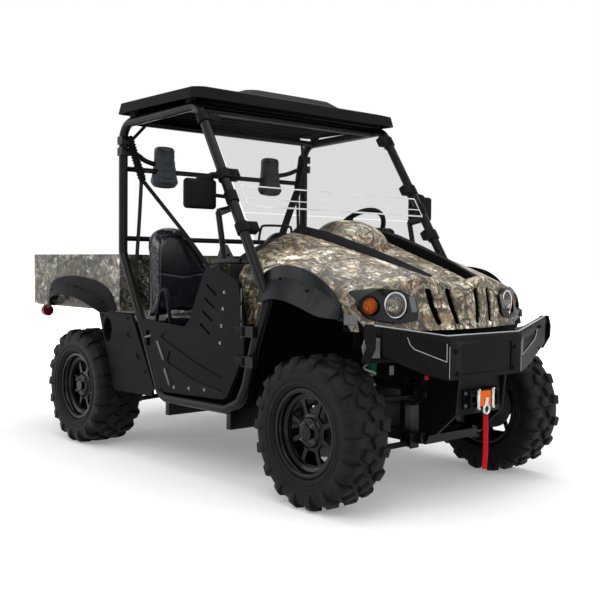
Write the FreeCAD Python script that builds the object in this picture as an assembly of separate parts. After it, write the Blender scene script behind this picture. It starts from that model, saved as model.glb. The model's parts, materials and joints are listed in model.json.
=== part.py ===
import FreeCAD, Part
import math
import os

os.makedirs("parts", exist_ok=True)
V = FreeCAD.Vector
MADE = {}

# Side by side utility vehicle, in millimetres
# X points forward, Y to the driver's left, Z up, with the ground at Z = 0

# Driving dimensions: axles and tyres
TYRE_R = 327.0
WHEELBASE = 1930.0
LUGS = 18
LUG_H = 15.0
LUG_W = 34.0
LUG_SLANT = 24.0
FRONT_AXLE_X = 1120.0
REAR_AXLE_X = FRONT_AXLE_X - WHEELBASE
AXLE_Z = TYRE_R
FRONT_TYRE_Y = 604.0
REAR_TYRE_Y = 626.0
FRONT_TYRE_W = 235.0
REAR_TYRE_W = 285.0
TYRE_BEAD_R = 178.0
BEAD_SHARE = 0.38

# Driving dimensions: rims
RIM_WALL = 5.0
RIM_FLANGE_R = 190.0
RIM_FLANGE_T = 6.0
DISC_T = 12.0
DISC_INSET = 38.0
HUB_R = 62.0
HUB_RISE = 14.0
CAP_R = 30.0
CAP_RISE = 16.0
HUB_SEAT = 12.0
WINDOWS = 8
WINDOW_IN_R = 82.0
WINDOW_OUT_R = 146.0
SPOKE_W = 22.0

# Driving dimensions: overall ends and the running clearances
NOSE_X = 1545.0
TAIL_X = -1545.0
FIT = 0.3
MOVE = 6.0

# Driving dimensions: steering
KINGPIN_Y = 530.0
PIN_R = 8.0
STEER_ARM = 80.0
RACK_X = FRONT_AXLE_X - STEER_ARM
RACK_Z = AXLE_Z + 27
RACK_R = 13.0
UPPER_BALL_Z = 440.0
LOWER_BALL_Z = 217.0
BALL_GAP = 5.0
BRAKE_R = 112.0
BRAKE_T = 6.0
BARREL_R = 42.0
ARM_ROOT_Y = 216.0
LOWER_ROOT_Z = 250.0
UPPER_ROOT_Z = 458.0
LOWER_SPREAD = 150.0
UPPER_SPREAD = 172.0
LOWER_LUG_Z = 232.0
UPPER_LUG_Z = 440.0
LUG_REACH = 31.0

# Driving dimensions: steering wheel
STEER_CENTRE = V(365, 350, 1203)
STEER_AXIS = V(-math.cos(math.radians(40)), 0, math.sin(math.radians(40)))
SHAFT_R = 11.0
COLUMN_R = 24.0

# Driving dimensions: frame
RAIL_Y = 178.0
RAIL_W = 36.0
RAIL_TOP = 300.0
RAIL_H = 46.0
RAIL_FRONT_X = 1330.0
RAIL_REAR_X = -1120.0
UPPER_RAIL_Z = 655.0
UPPER_RAIL_H = 35.0
UPPER_RAIL_FRONT_X = -480.0
UPPER_RAIL_REAR_X = -1330.0
SQUARE = 30.0
TOWER_TOP = 510.0
SHOCK_TOP_Z = 715.0
REAR_SHOCK_TOP_Z = UPPER_RAIL_Z + 3 - 13 - FIT
SHOCK_DX = 44.0
SHOCK_EYE_R = 13.0
SHOCK_FOOT_Y = 372.0

# Driving dimensions: tubes of the cage
TUBE_R = 24.0
THIN_TUBE_R = 12.0
BEND = 90.0
SILL_Y = 690.0
PANEL_TOP = 762.0
INTAKE_X = -512.0
INTAKE_Z = 668.0
INTAKE_R = 42.0
INTAKE_STRETCH = 1.55
SILL_BEND = 60.0
SILL_Z = 352.0
POST_X = -438.0
POST_Y = 655.0
POST_FOOT_Z = 1090.0
POST_SPLIT_Z = 1150.0
SILL_REAR_X = 5.0
SILL_FRONT_X = 640.0
PILLAR_FOOT = (838.0, 668.0, 880.0)
PILLAR_TOP = (262.0, 646.0, 1812.0)
PILLAR_SPLIT_Z = 975.0
CLAMP_Z = (1740.0, 1453.0, 1200.0)
SCREEN_PANES = ((1262.0, 1765.0), (1075.0, 1255.0))
SCREEN_Y = 639.0
CAGE_TOP_Z = 1790.0
REST_BAR_Z = 1550.0
REST_BAR_R = 14.0

# Driving dimensions: roof
ROOF_FRONT_X = 318.0
ROOF_REAR_X = -436.0
ROOF_Y = 706.0
ROOF_RIM_Z = 1838.0
ROOF_EDGE_H = 54.0
ROOF_FLAT_Z = 1904.0
ROOF_HUMP_Y = 350.0
ROOF_RIBS_X = (-330.0, -190.0, -50.0, 90.0)
ROOF_TOP_Z = 1955.0
ROOF_WALL = 7.0

# Driving dimensions: floor and seats
FLOOR_Z = 378.0
FLOOR_T = 8.0
FLOOR_Y = 660.0
FLOOR_REAR_X = 20.0
FLOOR_FRONT_X = 600.0
SEAT_BOX_REAR_X = -420.0
SEAT_BOX_FRONT_X = 165.0
SEAT_BOX_Y = 640.0
SEAT_BOX_TOP = 700.0
SEAT_BOX_WALL = 8.0
SEAT_IN_Y = 92.0
SEAT_OUT_Y = 575.0
CUSHION_T = 95.0
CUSHION_FRONT_X = 208.0
CUSHION_REAR_X = -270.0
BACK_TOP_Z = 1252.0
BACK_T = 95.0
BACK_FOOT_X = -285.0
BACK_TOP_X = -400.0
HEADREST_X = -480.0
HEADREST_T = 62.0
HEADREST_Y = 385.0
HEADREST_Z = 1578.0
HEADREST_H = 250.0
HEADREST_W = 192.0
HEADREST_TOP_W = 140.0

# Driving dimensions: doors
DOOR_IN_Y = 690.0
DOOR_T = 22.0
DOOR_HINGE_X = 740.0
DOOR_HINGE_Y = 729.0
HINGE_Z = (600.0, 735.0)
DOOR_LATCH = ((-110, 690), (-70, 690), (-60, 612), (-100, 612))
DOOR_LOUVRES = ((430, 930), (415, 868), (398, 806), (378, 744))
DOOR_PRESSES = (((20, 664), (330, 560), (560, 500), (590, 540), (360, 625), (70, 690)),
                ((90, 540), (330, 470), (560, 440), (575, 470), (350, 520), (110, 600)))
HINGE_PIN_R = 3.0
HINGE_EYE_R = 9.0

# Driving dimensions: bed and tailgate
BED_FRONT_X = -476.0
BED_REAR_X = -1500.0
BED_Y = 655.0
BED_FLOOR_Z = 770.0
BED_TOP_Z = 1083.0
BED_WALL = 14.0
BED_PIVOT_X = -1300.0
BED_PIVOT_Z = 715.0
BED_BEAM_Y = 215.0
BED_BEAM_W = 26.0
TAILGATE_T = 38.0
TAILGATE_PIVOT_X = -1511.0
TAILGATE_PIVOT_Z = 764.0
GATE_PIN_R = 4.0

# Driving dimensions: front body, seen from the centre line outwards at each station
BODY_WALL = 8.0
BODY_BOTTOM_Z = 760.0
BODY_STATIONS = (
    (590, ((0, 1205), (150, 1207), (280, 1203), (430, 1150), (560, 1075), (640, 985))),
    (735, ((0, 1165), (140, 1169), (264, 1170), (420, 1125), (560, 1060), (640, 975))),
    (870, ((0, 1118), (130, 1124), (242, 1131), (400, 1100), (550, 1040), (636, 960))),
    (1100, ((0, 1050), (110, 1056), (205, 1063), (380, 1035), (530, 985), (612, 910))),
    (1250, ((0, 1000), (95, 1008), (180, 1018), (350, 990), (500, 940), (582, 870))),
    (1350, ((0, 955), (90, 965), (165, 984), (330, 955), (470, 905), (552, 835))),
    (1450, ((0, 890), (90, 902), (150, 925), (300, 895), (430, 850), (520, 790))),
)
NOSE_PLAN = ((0, 1387), (110, 1384), (215, 1364), (386, 1326), (500, 1287), (580, 1250), (700, 1165))
NOSE_PLAN_Z = 930.0
NOSE_LEAN = 0.267
STRIP_REAR = (636.0, 280.0)
STRIP_FRONT = (1330.0, 167.0)
STRIP_W = 82.0
STRIP_EDGE = 5.0
STRIP_CREST = 0.35
STRIP_STATIONS = ((0.0, 26.0), (0.25, 30.0), (0.5, 28.0), (0.75, 20.0), (0.93, 8.0), (1.0, 1.0))
PANEL_DROP = 20.0
HUMP_X = 628.0
HUMP_Z = 1120.0
HUMP_LENGTH = 250.0
HUMP_HALF_W = 190.0
HUMP_H = 142.0
SLOTS_Y = (90.0, 197.0)
SLOT_W = 34.0
SLOT_SWEEP = 22.0
SLOT_LOW_Z = 778.0
SLOT_MID_Z = 860.0
SLOT_TOP_Z = 942.0

# Driving dimensions: flares, as stations of flange edge, crease and lip
FLARE_WALL = 5.0
FRONT_FLARE = (
    ((765, 643, 982), (772, 653, 953), (810, 712, 880)),
    ((800, 642, 1006), (826, 651, 970), (842, 715, 870)),
    ((844, 641, 1024), (890, 648, 977), (895, 718, 884)),
    ((918, 636, 1033), (953, 641, 976), (975, 718, 885)),
    ((995, 628, 1025), (1022, 634, 965), (1059, 716, 869)),
    ((1056, 622, 1009), (1097, 626, 941), (1125, 708, 847)),
    ((1121, 613, 977), (1158, 616, 912), (1183, 695, 825)),
    ((1169, 603, 940), (1200, 608, 889), (1225, 672, 817)),
    ((1212, 594, 886), (1228, 601, 865), (1246, 640, 811)),
    ((1236, 590, 819), (1242, 597, 816), (1252, 606, 808)),
)
REAR_FLARE = (
    ((-1368, 659, 762), (-1350, 666, 758), (-1290, 690, 752)),
    ((-1332, 659, 842), (-1303, 668, 828), (-1215, 715, 800)),
    ((-1304, 659, 900), (-1270, 672, 868), (-1144, 735, 832)),
    ((-1232, 659, 935), (-1190, 675, 893), (-1040, 742, 847)),
    ((-1113, 659, 952), (-1080, 676, 903), (-940, 745, 848)),
    ((-974, 659, 955), (-949, 677, 897), (-845, 745, 838)),
    ((-840, 659, 945), (-825, 677, 880), (-755, 742, 820)),
    ((-729, 659, 929), (-722, 676, 862), (-685, 735, 797)),
    ((-622, 659, 898), (-630, 674, 832), (-645, 722, 778)),
    ((-552, 659, 850), (-565, 668, 798), (-628, 705, 765)),
    ((-505, 659, 772), (-522, 664, 768), (-616, 690, 761)),
)

# Driving dimensions: lamps
HEADLAMP = (1346.0, 388.0, 868.0)
HEADLAMP_R = 58.0
TURN_LAMP = (1303.0, 498.0, 866.0)
TURN_LAMP_R = 40.0
LAMP_DEPTH = 60.0
HEADLAMP_TURN = math.radians(14)
TURN_LAMP_TURN = math.radians(20)
BEZEL_PROUD = 14.0

# Driving dimensions: bumper and winch
BUMPER_X = NOSE_X - 15.0
BUMPER_LOW_Z = 556.0
BUMPER_TOP_Z = 746.0
BUMPER_CENTRE_Y = 250.0
BUMPER_TIP_X = 1432.0
BUMPER_TIP_Y = 606.0
BUMPER_TIP_Z = 798.0
BUMPER_T = 8.0
BUMPER_RAIL_R = 25.0
BUMPER_SKIN = 4.0
BUMPER_RECESS = ((-178, 575), (178, 575), (178, 706), (-178, 706))
WING_RECESS = ((264, 636), (418, 694), (438, 712), (452, 744), (264, 712))
WINCH_Z = 461.0
WINCH_X = 1425.0
DRUM_R = 28.0
WINCH_FACE_X = 1500.0
HOOK_X = 1532.0
HOOK_Z = 415.0
HOOK_RING_R = 19.0
HOOK_WIRE_R = 6.0
STRAP_END_Z = 152.0
STRAP_W = 25.0
STRAP_T = 4.0


def box(x0, x1, y0, y1, z0, z1):
    """A block between two corners."""
    return Part.makeBox(x1 - x0, y1 - y0, z1 - z0, V(x0, y0, z0))


def rod(start, end, radius):
    """A round bar between two points."""
    a, b = V(*start), V(*end)
    return Part.makeCylinder(radius, (b - a).Length, a, b - a)


def mirrored(shape):
    """The same piece on the vehicle's other side."""
    return shape.mirror(V(0, 0, 0), V(0, 1, 0))


def pair(shape):
    """A piece and its mirror image."""
    return [shape, mirrored(shape)]


def path(points, radius, closed=False):
    """A wire of straight runs joined by tangent arcs."""
    pts = [V(*p) for p in points]
    count = len(pts)
    corners = list(range(count)) if closed else list(range(1, count - 1))
    cuts = {}
    for i in corners:
        here, before, after = pts[i], pts[i - 1], pts[(i + 1) % count]
        u, v = before - here, after - here
        shorter = min(u.Length, v.Length)
        u.normalize()
        v.normalize()
        half = u.getAngle(v) / 2
        if half > math.pi / 2 - 1e-4 or radius <= 0:
            cuts[i] = None
            continue
        back = min(radius / math.tan(half), 0.45 * shorter)
        bisector = u + v
        bisector.normalize()
        arc_r = back * math.tan(half)
        middle = here + bisector * (arc_r / math.sin(half) - arc_r)
        cuts[i] = (here + u * back, middle, here + v * back)
    edges = []
    spans = count if closed else count - 1
    for i in range(spans):
        j = (i + 1) % count
        start = cuts[i][2] if cuts.get(i) else pts[i]
        end = cuts[j][0] if cuts.get(j) else pts[j]
        if (end - start).Length > 1e-3:
            edges.append(Part.LineSegment(start, end).toShape())
        if cuts.get(j):
            edges.append(Part.Arc(*cuts[j]).toShape())
    return Part.Wire(Part.__sortEdges__(edges))


def tube(points, radius, bend=BEND):
    """A bent round tube along a route."""
    runs = []
    for edge in path(points, bend).Edges:
        start = edge.valueAt(edge.FirstParameter)
        along = edge.tangentAt(edge.FirstParameter)
        disc = Part.Face(Part.Wire([Part.Circle(start, along, radius).toShape()]))
        if isinstance(edge.Curve, Part.Circle):
            turn = math.degrees(edge.Length / edge.Curve.Radius)
            runs.append(disc.revolve(edge.Curve.Center, edge.Curve.Axis, turn))
        else:
            runs.append(disc.extrude(along * edge.Length))
    return fuse(runs)


def side_prism(outline, y0, y1, radius=0):
    """An outline in X and Z, drawn out along Y."""
    wire = path([(x, y0, z) for x, z in outline], radius, True)
    return Part.Face(wire).extrude(V(0, y1 - y0, 0))


def plan_prism(outline, z0, z1, radius=0):
    """An outline in X and Y, drawn out along Z."""
    wire = path([(x, y, z0) for x, y in outline], radius, True)
    return Part.Face(wire).extrude(V(0, 0, z1 - z0))


def front_prism(outline, x0, x1, radius=0):
    """An outline in Y and Z, drawn out along X."""
    wire = path([(x0, y, z) for y, z in outline], radius, True)
    return Part.Face(wire).extrude(V(x1 - x0, 0, 0))


def turned(outline, x, z):
    """A ring turned round the axle line from radius and Y pairs."""
    wire = path([(x, y, z + r) for r, y in outline], 0, True)
    return Part.Face(wire).revolve(V(x, 0, z), V(0, 1, 0), 360)


def fuse(shapes):
    """One solid from pieces that meet."""
    first, rest = shapes[0], shapes[1:]
    return first.fuse(rest).removeSplitter() if rest else first


def solids_of(shapes):
    """Every closed solid in a list of shapes."""
    return [solid for shape in shapes for solid in shape.Solids]


def save(name, shapes):
    """Write one node as its closed solids."""
    solids = solids_of(shapes)
    if not solids or not all(s.isValid() and s.Volume > 0 for s in solids):
        raise ValueError(name + " is not made of valid solids")
    Part.makeCompound(solids).exportStep("parts/" + name + ".step")


# Wheels
def tyre(x, y, width):
    """A tyre: the carcass round the axle line with two rows of lugs on each side."""
    bead = BEAD_SHARE * width
    base = TYRE_R - LUG_H
    half = [(TYRE_BEAD_R, bead), (RIM_FLANGE_R + 2, bead), (TYRE_BEAD_R + 30, 0.47 * width),
            (TYRE_R - 85, 0.49 * width), (base - 26, 0.475 * width), (base - 7, 0.42 * width), (base,
                                                                                                0.3 * width)]
    outline = half + [(r, -t) for r, t in reversed(half)]
    middle = [(base - 8, 0.01 * width), (TYRE_R, 0.02 * width), (TYRE_R, 0.2 * width),
              (base - 8, 0.22 * width)]
    shoulder = [(base - 8, 0.2 * width), (TYRE_R - 1, 0.23 * width), (TYRE_R - 3, 0.4 * width),
                (TYRE_R - 18, 0.475 * width), (TYRE_R - 62, 0.5 * width), (TYRE_R - 64, 0.46 * width)]
    lugs = []
    for i in range(LUGS):
        for side in (-1, 1):
            turn = 360.0 * (i + (0.5 if side > 0 else 0.0)) / LUGS
            lugs.append(lug(middle, side, LUG_W, LUG_SLANT, turn))
            lugs.append(lug(shoulder, side, LUG_W * 1.15, -LUG_SLANT / 3, turn + 180.0 / LUGS))
    body = turned(outline, 0, 0).fuse(lugs)
    return body.translated(V(x, y, AXLE_Z))


def lug(profile, side, length, slant, turn):
    """One tread block from its profile in radius and Y, slanted and turned round the axle."""
    wire = path([(-length / 2, side * t, r) for r, t in profile], 0, True)
    block = Part.Face(wire).extrude(V(length, 0, 0))
    middle = V(0, side * sum(t for r, t in profile) / len(profile), 0)
    block.rotate(middle, V(0, 0, 1), side * slant)
    block.rotate(V(0, 0, 0), V(0, 1, 0), turn)
    return block


def rim(x, y, width, side):
    """A drop-centre rim with a windowed disc, a raised hub and a cap."""
    bead = BEAD_SHARE * width
    inner = TYRE_BEAD_R - FIT - RIM_WALL
    seat = TYRE_BEAD_R - FIT
    half = [(inner, bead + FIT + RIM_FLANGE_T), (RIM_FLANGE_R, bead + FIT + RIM_FLANGE_T),
            (RIM_FLANGE_R, bead + FIT), (seat, bead + FIT)]
    outline = half + [(r, -t) for r, t in reversed(half)]
    barrel = turned([(r, y + t) for r, t in outline], x, AXLE_Z)
    face = y + side * (bead - DISC_INSET)
    back = face - side * DISC_T
    disc = rod((x, back, AXLE_Z), (x, face, AXLE_Z), inner + 1)
    hub = rod((x, back - side * HUB_SEAT, AXLE_Z), (x, face + side * HUB_RISE, AXLE_Z), HUB_R)
    cap = rod((x, face, AXLE_Z), (x, face + side * (HUB_RISE + CAP_RISE), AXLE_Z), CAP_R)
    window_half = math.pi / WINDOWS
    cuts = []
    for i in range(WINDOWS):
        turn = 2 * math.pi * i / WINDOWS
        low = window_half - SPOKE_W / 2 / WINDOW_IN_R
        high = window_half - SPOKE_W / 2 / WINDOW_OUT_R
        corners = ((WINDOW_IN_R, -low), (WINDOW_OUT_R, -high), (WINDOW_OUT_R, high), (WINDOW_IN_R, low))
        outline = [(x + r * math.cos(turn + a), AXLE_Z + r * math.sin(turn + a)) for r, a in corners]
        cuts.append(side_prism(outline, min(back, face) - 1, max(back, face) + 1, 9))
    return fuse([barrel, disc.cut(cuts), hub, cap])


def hub_seat_y(y, width):
    """How far out the wheel's hub meets what carries it."""
    return y + BEAD_SHARE * width - DISC_INSET - DISC_T - HUB_SEAT


# Knuckles and suspension, drawn on the left and mirrored for the right
def brake_and_barrel(x, y_in, y_out):
    """A bearing barrel with its brake disc and calliper."""
    barrel = rod((x, y_in, AXLE_Z), (x, y_out, AXLE_Z), BARREL_R)
    disc_y = y_out - 45
    disc = rod((x, disc_y, AXLE_Z), (x, disc_y + BRAKE_T, AXLE_Z), BRAKE_R)
    calliper = box(x + 58, x + 118, disc_y - 16, disc_y + 22, AXLE_Z + 10, AXLE_Z + 88)
    return [barrel, disc, calliper]


def knuckle():
    """A front knuckle that turns on its two ball pins."""
    x = FRONT_AXLE_X
    y_out = hub_seat_y(FRONT_TYRE_Y, FRONT_TYRE_W) - FIT
    upper = UPPER_BALL_Z - BALL_GAP
    lower = LOWER_BALL_Z + BALL_GAP
    upright = box(x - 20, x + 20, KINGPIN_Y - 20, KINGPIN_Y + 22, lower, upper)
    bridge = box(x + 15, x + 60, KINGPIN_Y + 2, KINGPIN_Y + 30, AXLE_Z + 5, AXLE_Z + 60)
    caliper_arm = box(x + 50, x + 75, KINGPIN_Y + 2, y_out - 40, AXLE_Z + 12, AXLE_Z + 58)
    arm = box(RACK_X - 14, x, KINGPIN_Y - 16, KINGPIN_Y + 6, AXLE_Z - 6, AXLE_Z + 10)
    solid = fuse([upright, bridge, caliper_arm, arm] + brake_and_barrel(x, KINGPIN_Y - 22, y_out))
    pins = [rod((x, KINGPIN_Y, upper - 30), (x, KINGPIN_Y, upper + 1), PIN_R + FIT),
            rod((x, KINGPIN_Y, lower - 1), (x, KINGPIN_Y, lower + 28), PIN_R + FIT)]
    return solid.cut(pins)


def rear_carrier():
    """A rear bearing carrier held by the arms."""
    x = REAR_AXLE_X
    y_out = hub_seat_y(REAR_TYRE_Y, REAR_TYRE_W) - FIT
    upright = box(x - 24, x + 24, KINGPIN_Y - 10, KINGPIN_Y + 30, LOWER_BALL_Z, UPPER_BALL_Z)
    bridge = box(x + 15, x + 75, KINGPIN_Y + 4, y_out - 40, AXLE_Z + 12, AXLE_Z + 58)
    return fuse([upright, bridge] + brake_and_barrel(x, KINGPIN_Y - 10, y_out))


def arm_bridge_z():
    """The height of the lower wishbone's cross bar, below the damper's foot."""
    share = (KINGPIN_Y - SHOCK_FOOT_Y) / (KINGPIN_Y - ARM_ROOT_Y)
    return LOWER_BALL_Z - 13 + share * (LOWER_ROOT_Z - LOWER_BALL_Z + 13)


def arm_bridge(x):
    """The cross bar between a lower wishbone's legs that the damper stands on."""
    half = LOWER_SPREAD * (KINGPIN_Y - SHOCK_FOOT_Y) / (KINGPIN_Y - ARM_ROOT_Y)
    z = arm_bridge_z()
    return rod((x - half, SHOCK_FOOT_Y, z), (x + half, SHOCK_FOOT_Y, z), 10)


def wishbone(x, tip, z_tip, root_y, root_z, spread, radius):
    """Two bars from an outer boss to two inner pivot sleeves."""
    boss = rod((x, tip, z_tip), (x, tip, z_tip + 26), 22)
    bars = []
    for sign in (-1, 1):
        end = (x + sign * spread, root_y, root_z)
        bars.append(rod((x, tip, z_tip + 13), end, radius))
        bars.append(rod((end[0] - 25, root_y, root_z), (end[0] + 25, root_y, root_z), 16))
    return fuse([boss] + bars)


def front_arms():
    """Upper and lower front wishbones with the ball pins."""
    x = FRONT_AXLE_X
    lower = fuse([wishbone(x, KINGPIN_Y, LOWER_BALL_Z - 26, ARM_ROOT_Y, LOWER_ROOT_Z, LOWER_SPREAD, 13),
                  arm_bridge(x)])
    low_pin = rod((x, KINGPIN_Y, LOWER_BALL_Z - 5), (x, KINGPIN_Y, LOWER_BALL_Z + 30), PIN_R)
    upper = wishbone(x, KINGPIN_Y, UPPER_BALL_Z, ARM_ROOT_Y, UPPER_ROOT_Z, UPPER_SPREAD, 11)
    high_pin = rod((x, KINGPIN_Y, UPPER_BALL_Z - 30), (x, KINGPIN_Y, UPPER_BALL_Z + 5), PIN_R)
    return [fuse([lower, low_pin]), fuse([upper, high_pin])]


def rear_arms():
    """Upper and lower rear wishbones, seated on the carriers."""
    x = REAR_AXLE_X
    tip = KINGPIN_Y + 10
    lower = fuse([wishbone(x, tip, LOWER_BALL_Z - 26 - FIT, ARM_ROOT_Y, LOWER_ROOT_Z, LOWER_SPREAD, 13),
                  arm_bridge(x)])
    upper = wishbone(x, tip, UPPER_BALL_Z + FIT, ARM_ROOT_Y, UPPER_ROOT_Z, UPPER_SPREAD, 11)
    return [lower, upper]


def shock(low, high):
    """A coil-over damper: body, spring outline and two eyes."""
    a, b = V(*low), V(*high)
    along = b - a
    length = along.Length
    along.normalize()

    def stage(start, end, radius):
        return rod(tuple(a + along * start), tuple(a + along * end), radius)
    eyes = [rod((p[0] - 14, p[1], p[2]), (p[0] + 14, p[1], p[2]), SHOCK_EYE_R) for p in (low, high)]
    coil_end = length - 45
    turns = 7
    pitch = (coil_end - 95) / turns
    coils = [stage(95 + i * pitch, 95 + (i + 0.5) * pitch, 28) for i in range(turns)]
    return fuse([stage(0, length, 9), stage(20, 95, 22), stage(95, coil_end, 20),
                 stage(coil_end, coil_end + 8, 29)] + coils + eyes)


def half_shaft(x, y_in, y_out):
    """A drive shaft with a boot at each end."""
    outline = [(0.0, y_in), (14, y_in), (14, y_in + 40), (36, y_in + 40), (36, y_in + 70), (24, y_in + 115),
               (14, y_in + 120), (14, y_out - 85),
               (24, y_out - 80), (38, y_out - 30), (38, y_out), (12, y_out), (12, y_out + 8), (0.0,
                                                                                               y_out + 8)]
    return turned(outline, x, AXLE_Z)


# Frame and drive line
def frame():
    """The welded ladder: two rails, cross members, outriggers and lower pivots."""
    low = RAIL_TOP - RAIL_H
    half = RAIL_W / 2
    side = [box(RAIL_REAR_X, RAIL_FRONT_X, RAIL_Y - half, RAIL_Y + half, low, RAIL_TOP)]
    for x in (40.0, 560.0):
        side.append(box(x, x + SQUARE, RAIL_Y, SILL_Y - 5, low + 10, FLOOR_Z - FLOOR_T - FIT))
    for x in (FRONT_AXLE_X, REAR_AXLE_X):
        side += pivot_lugs(x, LOWER_SPREAD, LOWER_LUG_Z, RAIL_TOP)
    cross = [box(x, x + SQUARE, -RAIL_Y, RAIL_Y, low + 5, RAIL_TOP - 5)
             for x in (RAIL_FRONT_X - 70, FRONT_AXLE_X - 165, 590.0, 45.0, -470.0, RAIL_REAR_X + 20)]
    return fuse(side + [mirrored(s) for s in side] + cross).cut(pair(sill_clearance()))


def front_tower():
    """The upright frame over the front axle that carries wishbones and dampers."""
    half = RAIL_W / 2
    reach = UPPER_SPREAD + LUG_REACH
    low = RAIL_TOP + FIT
    bar_x = FRONT_AXLE_X + SHOCK_DX - SQUARE / 2
    bar_z = SHOCK_TOP_Z + SHOCK_EYE_R + FIT
    side = [box(FRONT_AXLE_X - reach, FRONT_AXLE_X + reach, RAIL_Y - half, RAIL_Y + half,
                TOWER_TOP - SQUARE, TOWER_TOP),
            box(bar_x, bar_x + SQUARE, RAIL_Y - half, RAIL_Y + half, TOWER_TOP - 1, bar_z + 1)]
    for x in (FRONT_AXLE_X - 135, FRONT_AXLE_X + 85):
        side.append(box(x, x + SQUARE, RAIL_Y - half, RAIL_Y + half, low, TOWER_TOP - 1))
    side += pivot_lugs(FRONT_AXLE_X, UPPER_SPREAD, UPPER_LUG_Z, TOWER_TOP)
    bar = box(bar_x, bar_x + SQUARE, -370, 370, bar_z, bar_z + SQUARE)
    return fuse(side + [mirrored(s) for s in side] + [bar])


def rear_tower():
    """The bed rails on uprights over the rear axle, with cross members and hinge ears."""
    half = RAIL_W / 2
    reach = UPPER_SPREAD + LUG_REACH
    low = RAIL_TOP + FIT
    top = UPPER_RAIL_Z + UPPER_RAIL_H
    side = [box(UPPER_RAIL_REAR_X, UPPER_RAIL_FRONT_X, RAIL_Y - half, RAIL_Y + half, UPPER_RAIL_Z, top),
            box(REAR_AXLE_X - reach, REAR_AXLE_X + reach, RAIL_Y - half, RAIL_Y + half, TOWER_TOP - SQUARE,
                TOWER_TOP)]
    for x in (UPPER_RAIL_FRONT_X - SQUARE, REAR_AXLE_X - 190, REAR_AXLE_X + 130):
        side.append(box(x, x + SQUARE, RAIL_Y - half, RAIL_Y + half, low, UPPER_RAIL_Z + 1))
    side += pivot_lugs(REAR_AXLE_X, UPPER_SPREAD, UPPER_LUG_Z, TOWER_TOP)
    side += bed_hinge_ears()
    rear_x = REAR_AXLE_X + SHOCK_DX - SQUARE / 2
    cross = [box(x, x + SQUARE, -RAIL_Y, RAIL_Y, UPPER_RAIL_Z + 4, top - 1) for x in (-1010.0,
                                                                                      UPPER_RAIL_REAR_X + 60)]
    cross.append(box(rear_x, rear_x + SQUARE, -400, 400, UPPER_RAIL_Z + 3, UPPER_RAIL_Z + SQUARE))
    cross.append(box(UPPER_RAIL_FRONT_X - SQUARE, UPPER_RAIL_FRONT_X, -BED_BEAM_Y - 20, BED_BEAM_Y + 20,
                     UPPER_RAIL_Z + 4, top))
    return fuse(side + [mirrored(s) for s in side] + cross)


def pivot_lugs(x, spread, low, high):
    """Plates that hold one wishbone's inner sleeves at both ends."""
    y = RAIL_Y + RAIL_W / 2
    lugs = []
    for sign in (-1, 1):
        centre = x + sign * spread
        for edge in (centre - LUG_REACH, centre + 25 + FIT):
            lugs.append(box(edge, edge + 6 - FIT, y - 20, y + 36, low, high))
    return lugs


def bed_hinge_ears():
    """Upright ears with the pins that the bed tips on."""
    y = BED_BEAM_Y + BED_BEAM_W / 2 + 1.5
    ear = box(BED_PIVOT_X - 22, BED_PIVOT_X + 22, y, y + 8, UPPER_RAIL_Z + 5, BED_PIVOT_Z + 14)
    foot = box(BED_PIVOT_X - 22, BED_PIVOT_X + 22, RAIL_Y, y + 8, UPPER_RAIL_Z + 5, UPPER_RAIL_Z + 13)
    pin = rod((BED_PIVOT_X, BED_BEAM_Y - BED_BEAM_W / 2 - 6, BED_PIVOT_Z),
              (BED_PIVOT_X, y + 4, BED_PIVOT_Z), PIN_R)
    return [ear, foot, pin]


def engine():
    """The engine with its belt drive case, as one block."""
    block = box(-330, -20, -150, 150, RAIL_TOP + FIT, 640)
    clutch = rod((-250, -230, 470), (-250, -150, 470), 120)
    feet = [box(x, x + 40, -RAIL_Y - 12, RAIL_Y + 12, RAIL_TOP + FIT, RAIL_TOP + 12) for x in (-310.0, -80.0)]
    return fuse([block, clutch] + feet)


def gear_cases():
    """The front differential and the rear gearbox with the prop shafts."""
    front = box(FRONT_AXLE_X - 58, FRONT_AXLE_X + 80, -RAIL_Y + RAIL_W / 2 + FIT,
                RAIL_Y - RAIL_W / 2 - FIT, RAIL_TOP - RAIL_H, 400)
    house = box(RACK_X - 20, FRONT_AXLE_X - 57, -100, 100, RACK_Z - 20, RACK_Z + 20)
    front = fuse([front, house]).cut(rod((RACK_X, -400, RACK_Z), (RACK_X, 400, RACK_Z), RACK_R + FIT))
    rear = box(REAR_AXLE_X - 110, REAR_AXLE_X + 200, -RAIL_Y + RAIL_W / 2 + FIT,
               RAIL_Y - RAIL_W / 2 - FIT, 250, 470)
    return [front, rear]


def muffler():
    """The silencer behind the gearbox with its tail pipe."""
    drum = rod((-1230, -130, 520), (-1230, 130, 520), 75)
    pipe = rod((-1270, 90, 500), (-1390, 90, 480), 20)
    hanger = [box(-1250, -1230, y, y + 8, 560, UPPER_RAIL_Z + 4 - FIT) for y in (-80.0, 72.0)]
    return [fuse([drum, pipe] + hanger)]


# Cage, sill loops and roof
def sill_route():
    """The lower loop's route from the post's foot along the sill to the pillar's foot."""
    return [(POST_X, POST_Y, POST_SPLIT_Z), (POST_X, POST_Y, POST_FOOT_Z), (SILL_REAR_X, SILL_Y, 372),
            (60, SILL_Y, SILL_Z), (SILL_FRONT_X - 70, SILL_Y, SILL_Z + 8),
            (SILL_FRONT_X + 30, SILL_Y, SILL_Z + 50), (716, SILL_Y, 480), (782, SILL_Y, 690),
            PILLAR_FOOT, pillar_point(PILLAR_SPLIT_Z)]


def cage_route():
    """The upper hoop's route from the pillar's foot over the roof to the post's foot."""
    return [pillar_point(PILLAR_SPLIT_Z), PILLAR_TOP, (POST_X, POST_Y, CAGE_TOP_Z),
            (POST_X, POST_Y, POST_SPLIT_Z)]


def sill_loop():
    """The loop below: from the post's foot, along the sill and up to the pillar's foot."""
    return tube(sill_route(), TUBE_R, SILL_BEND)


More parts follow.
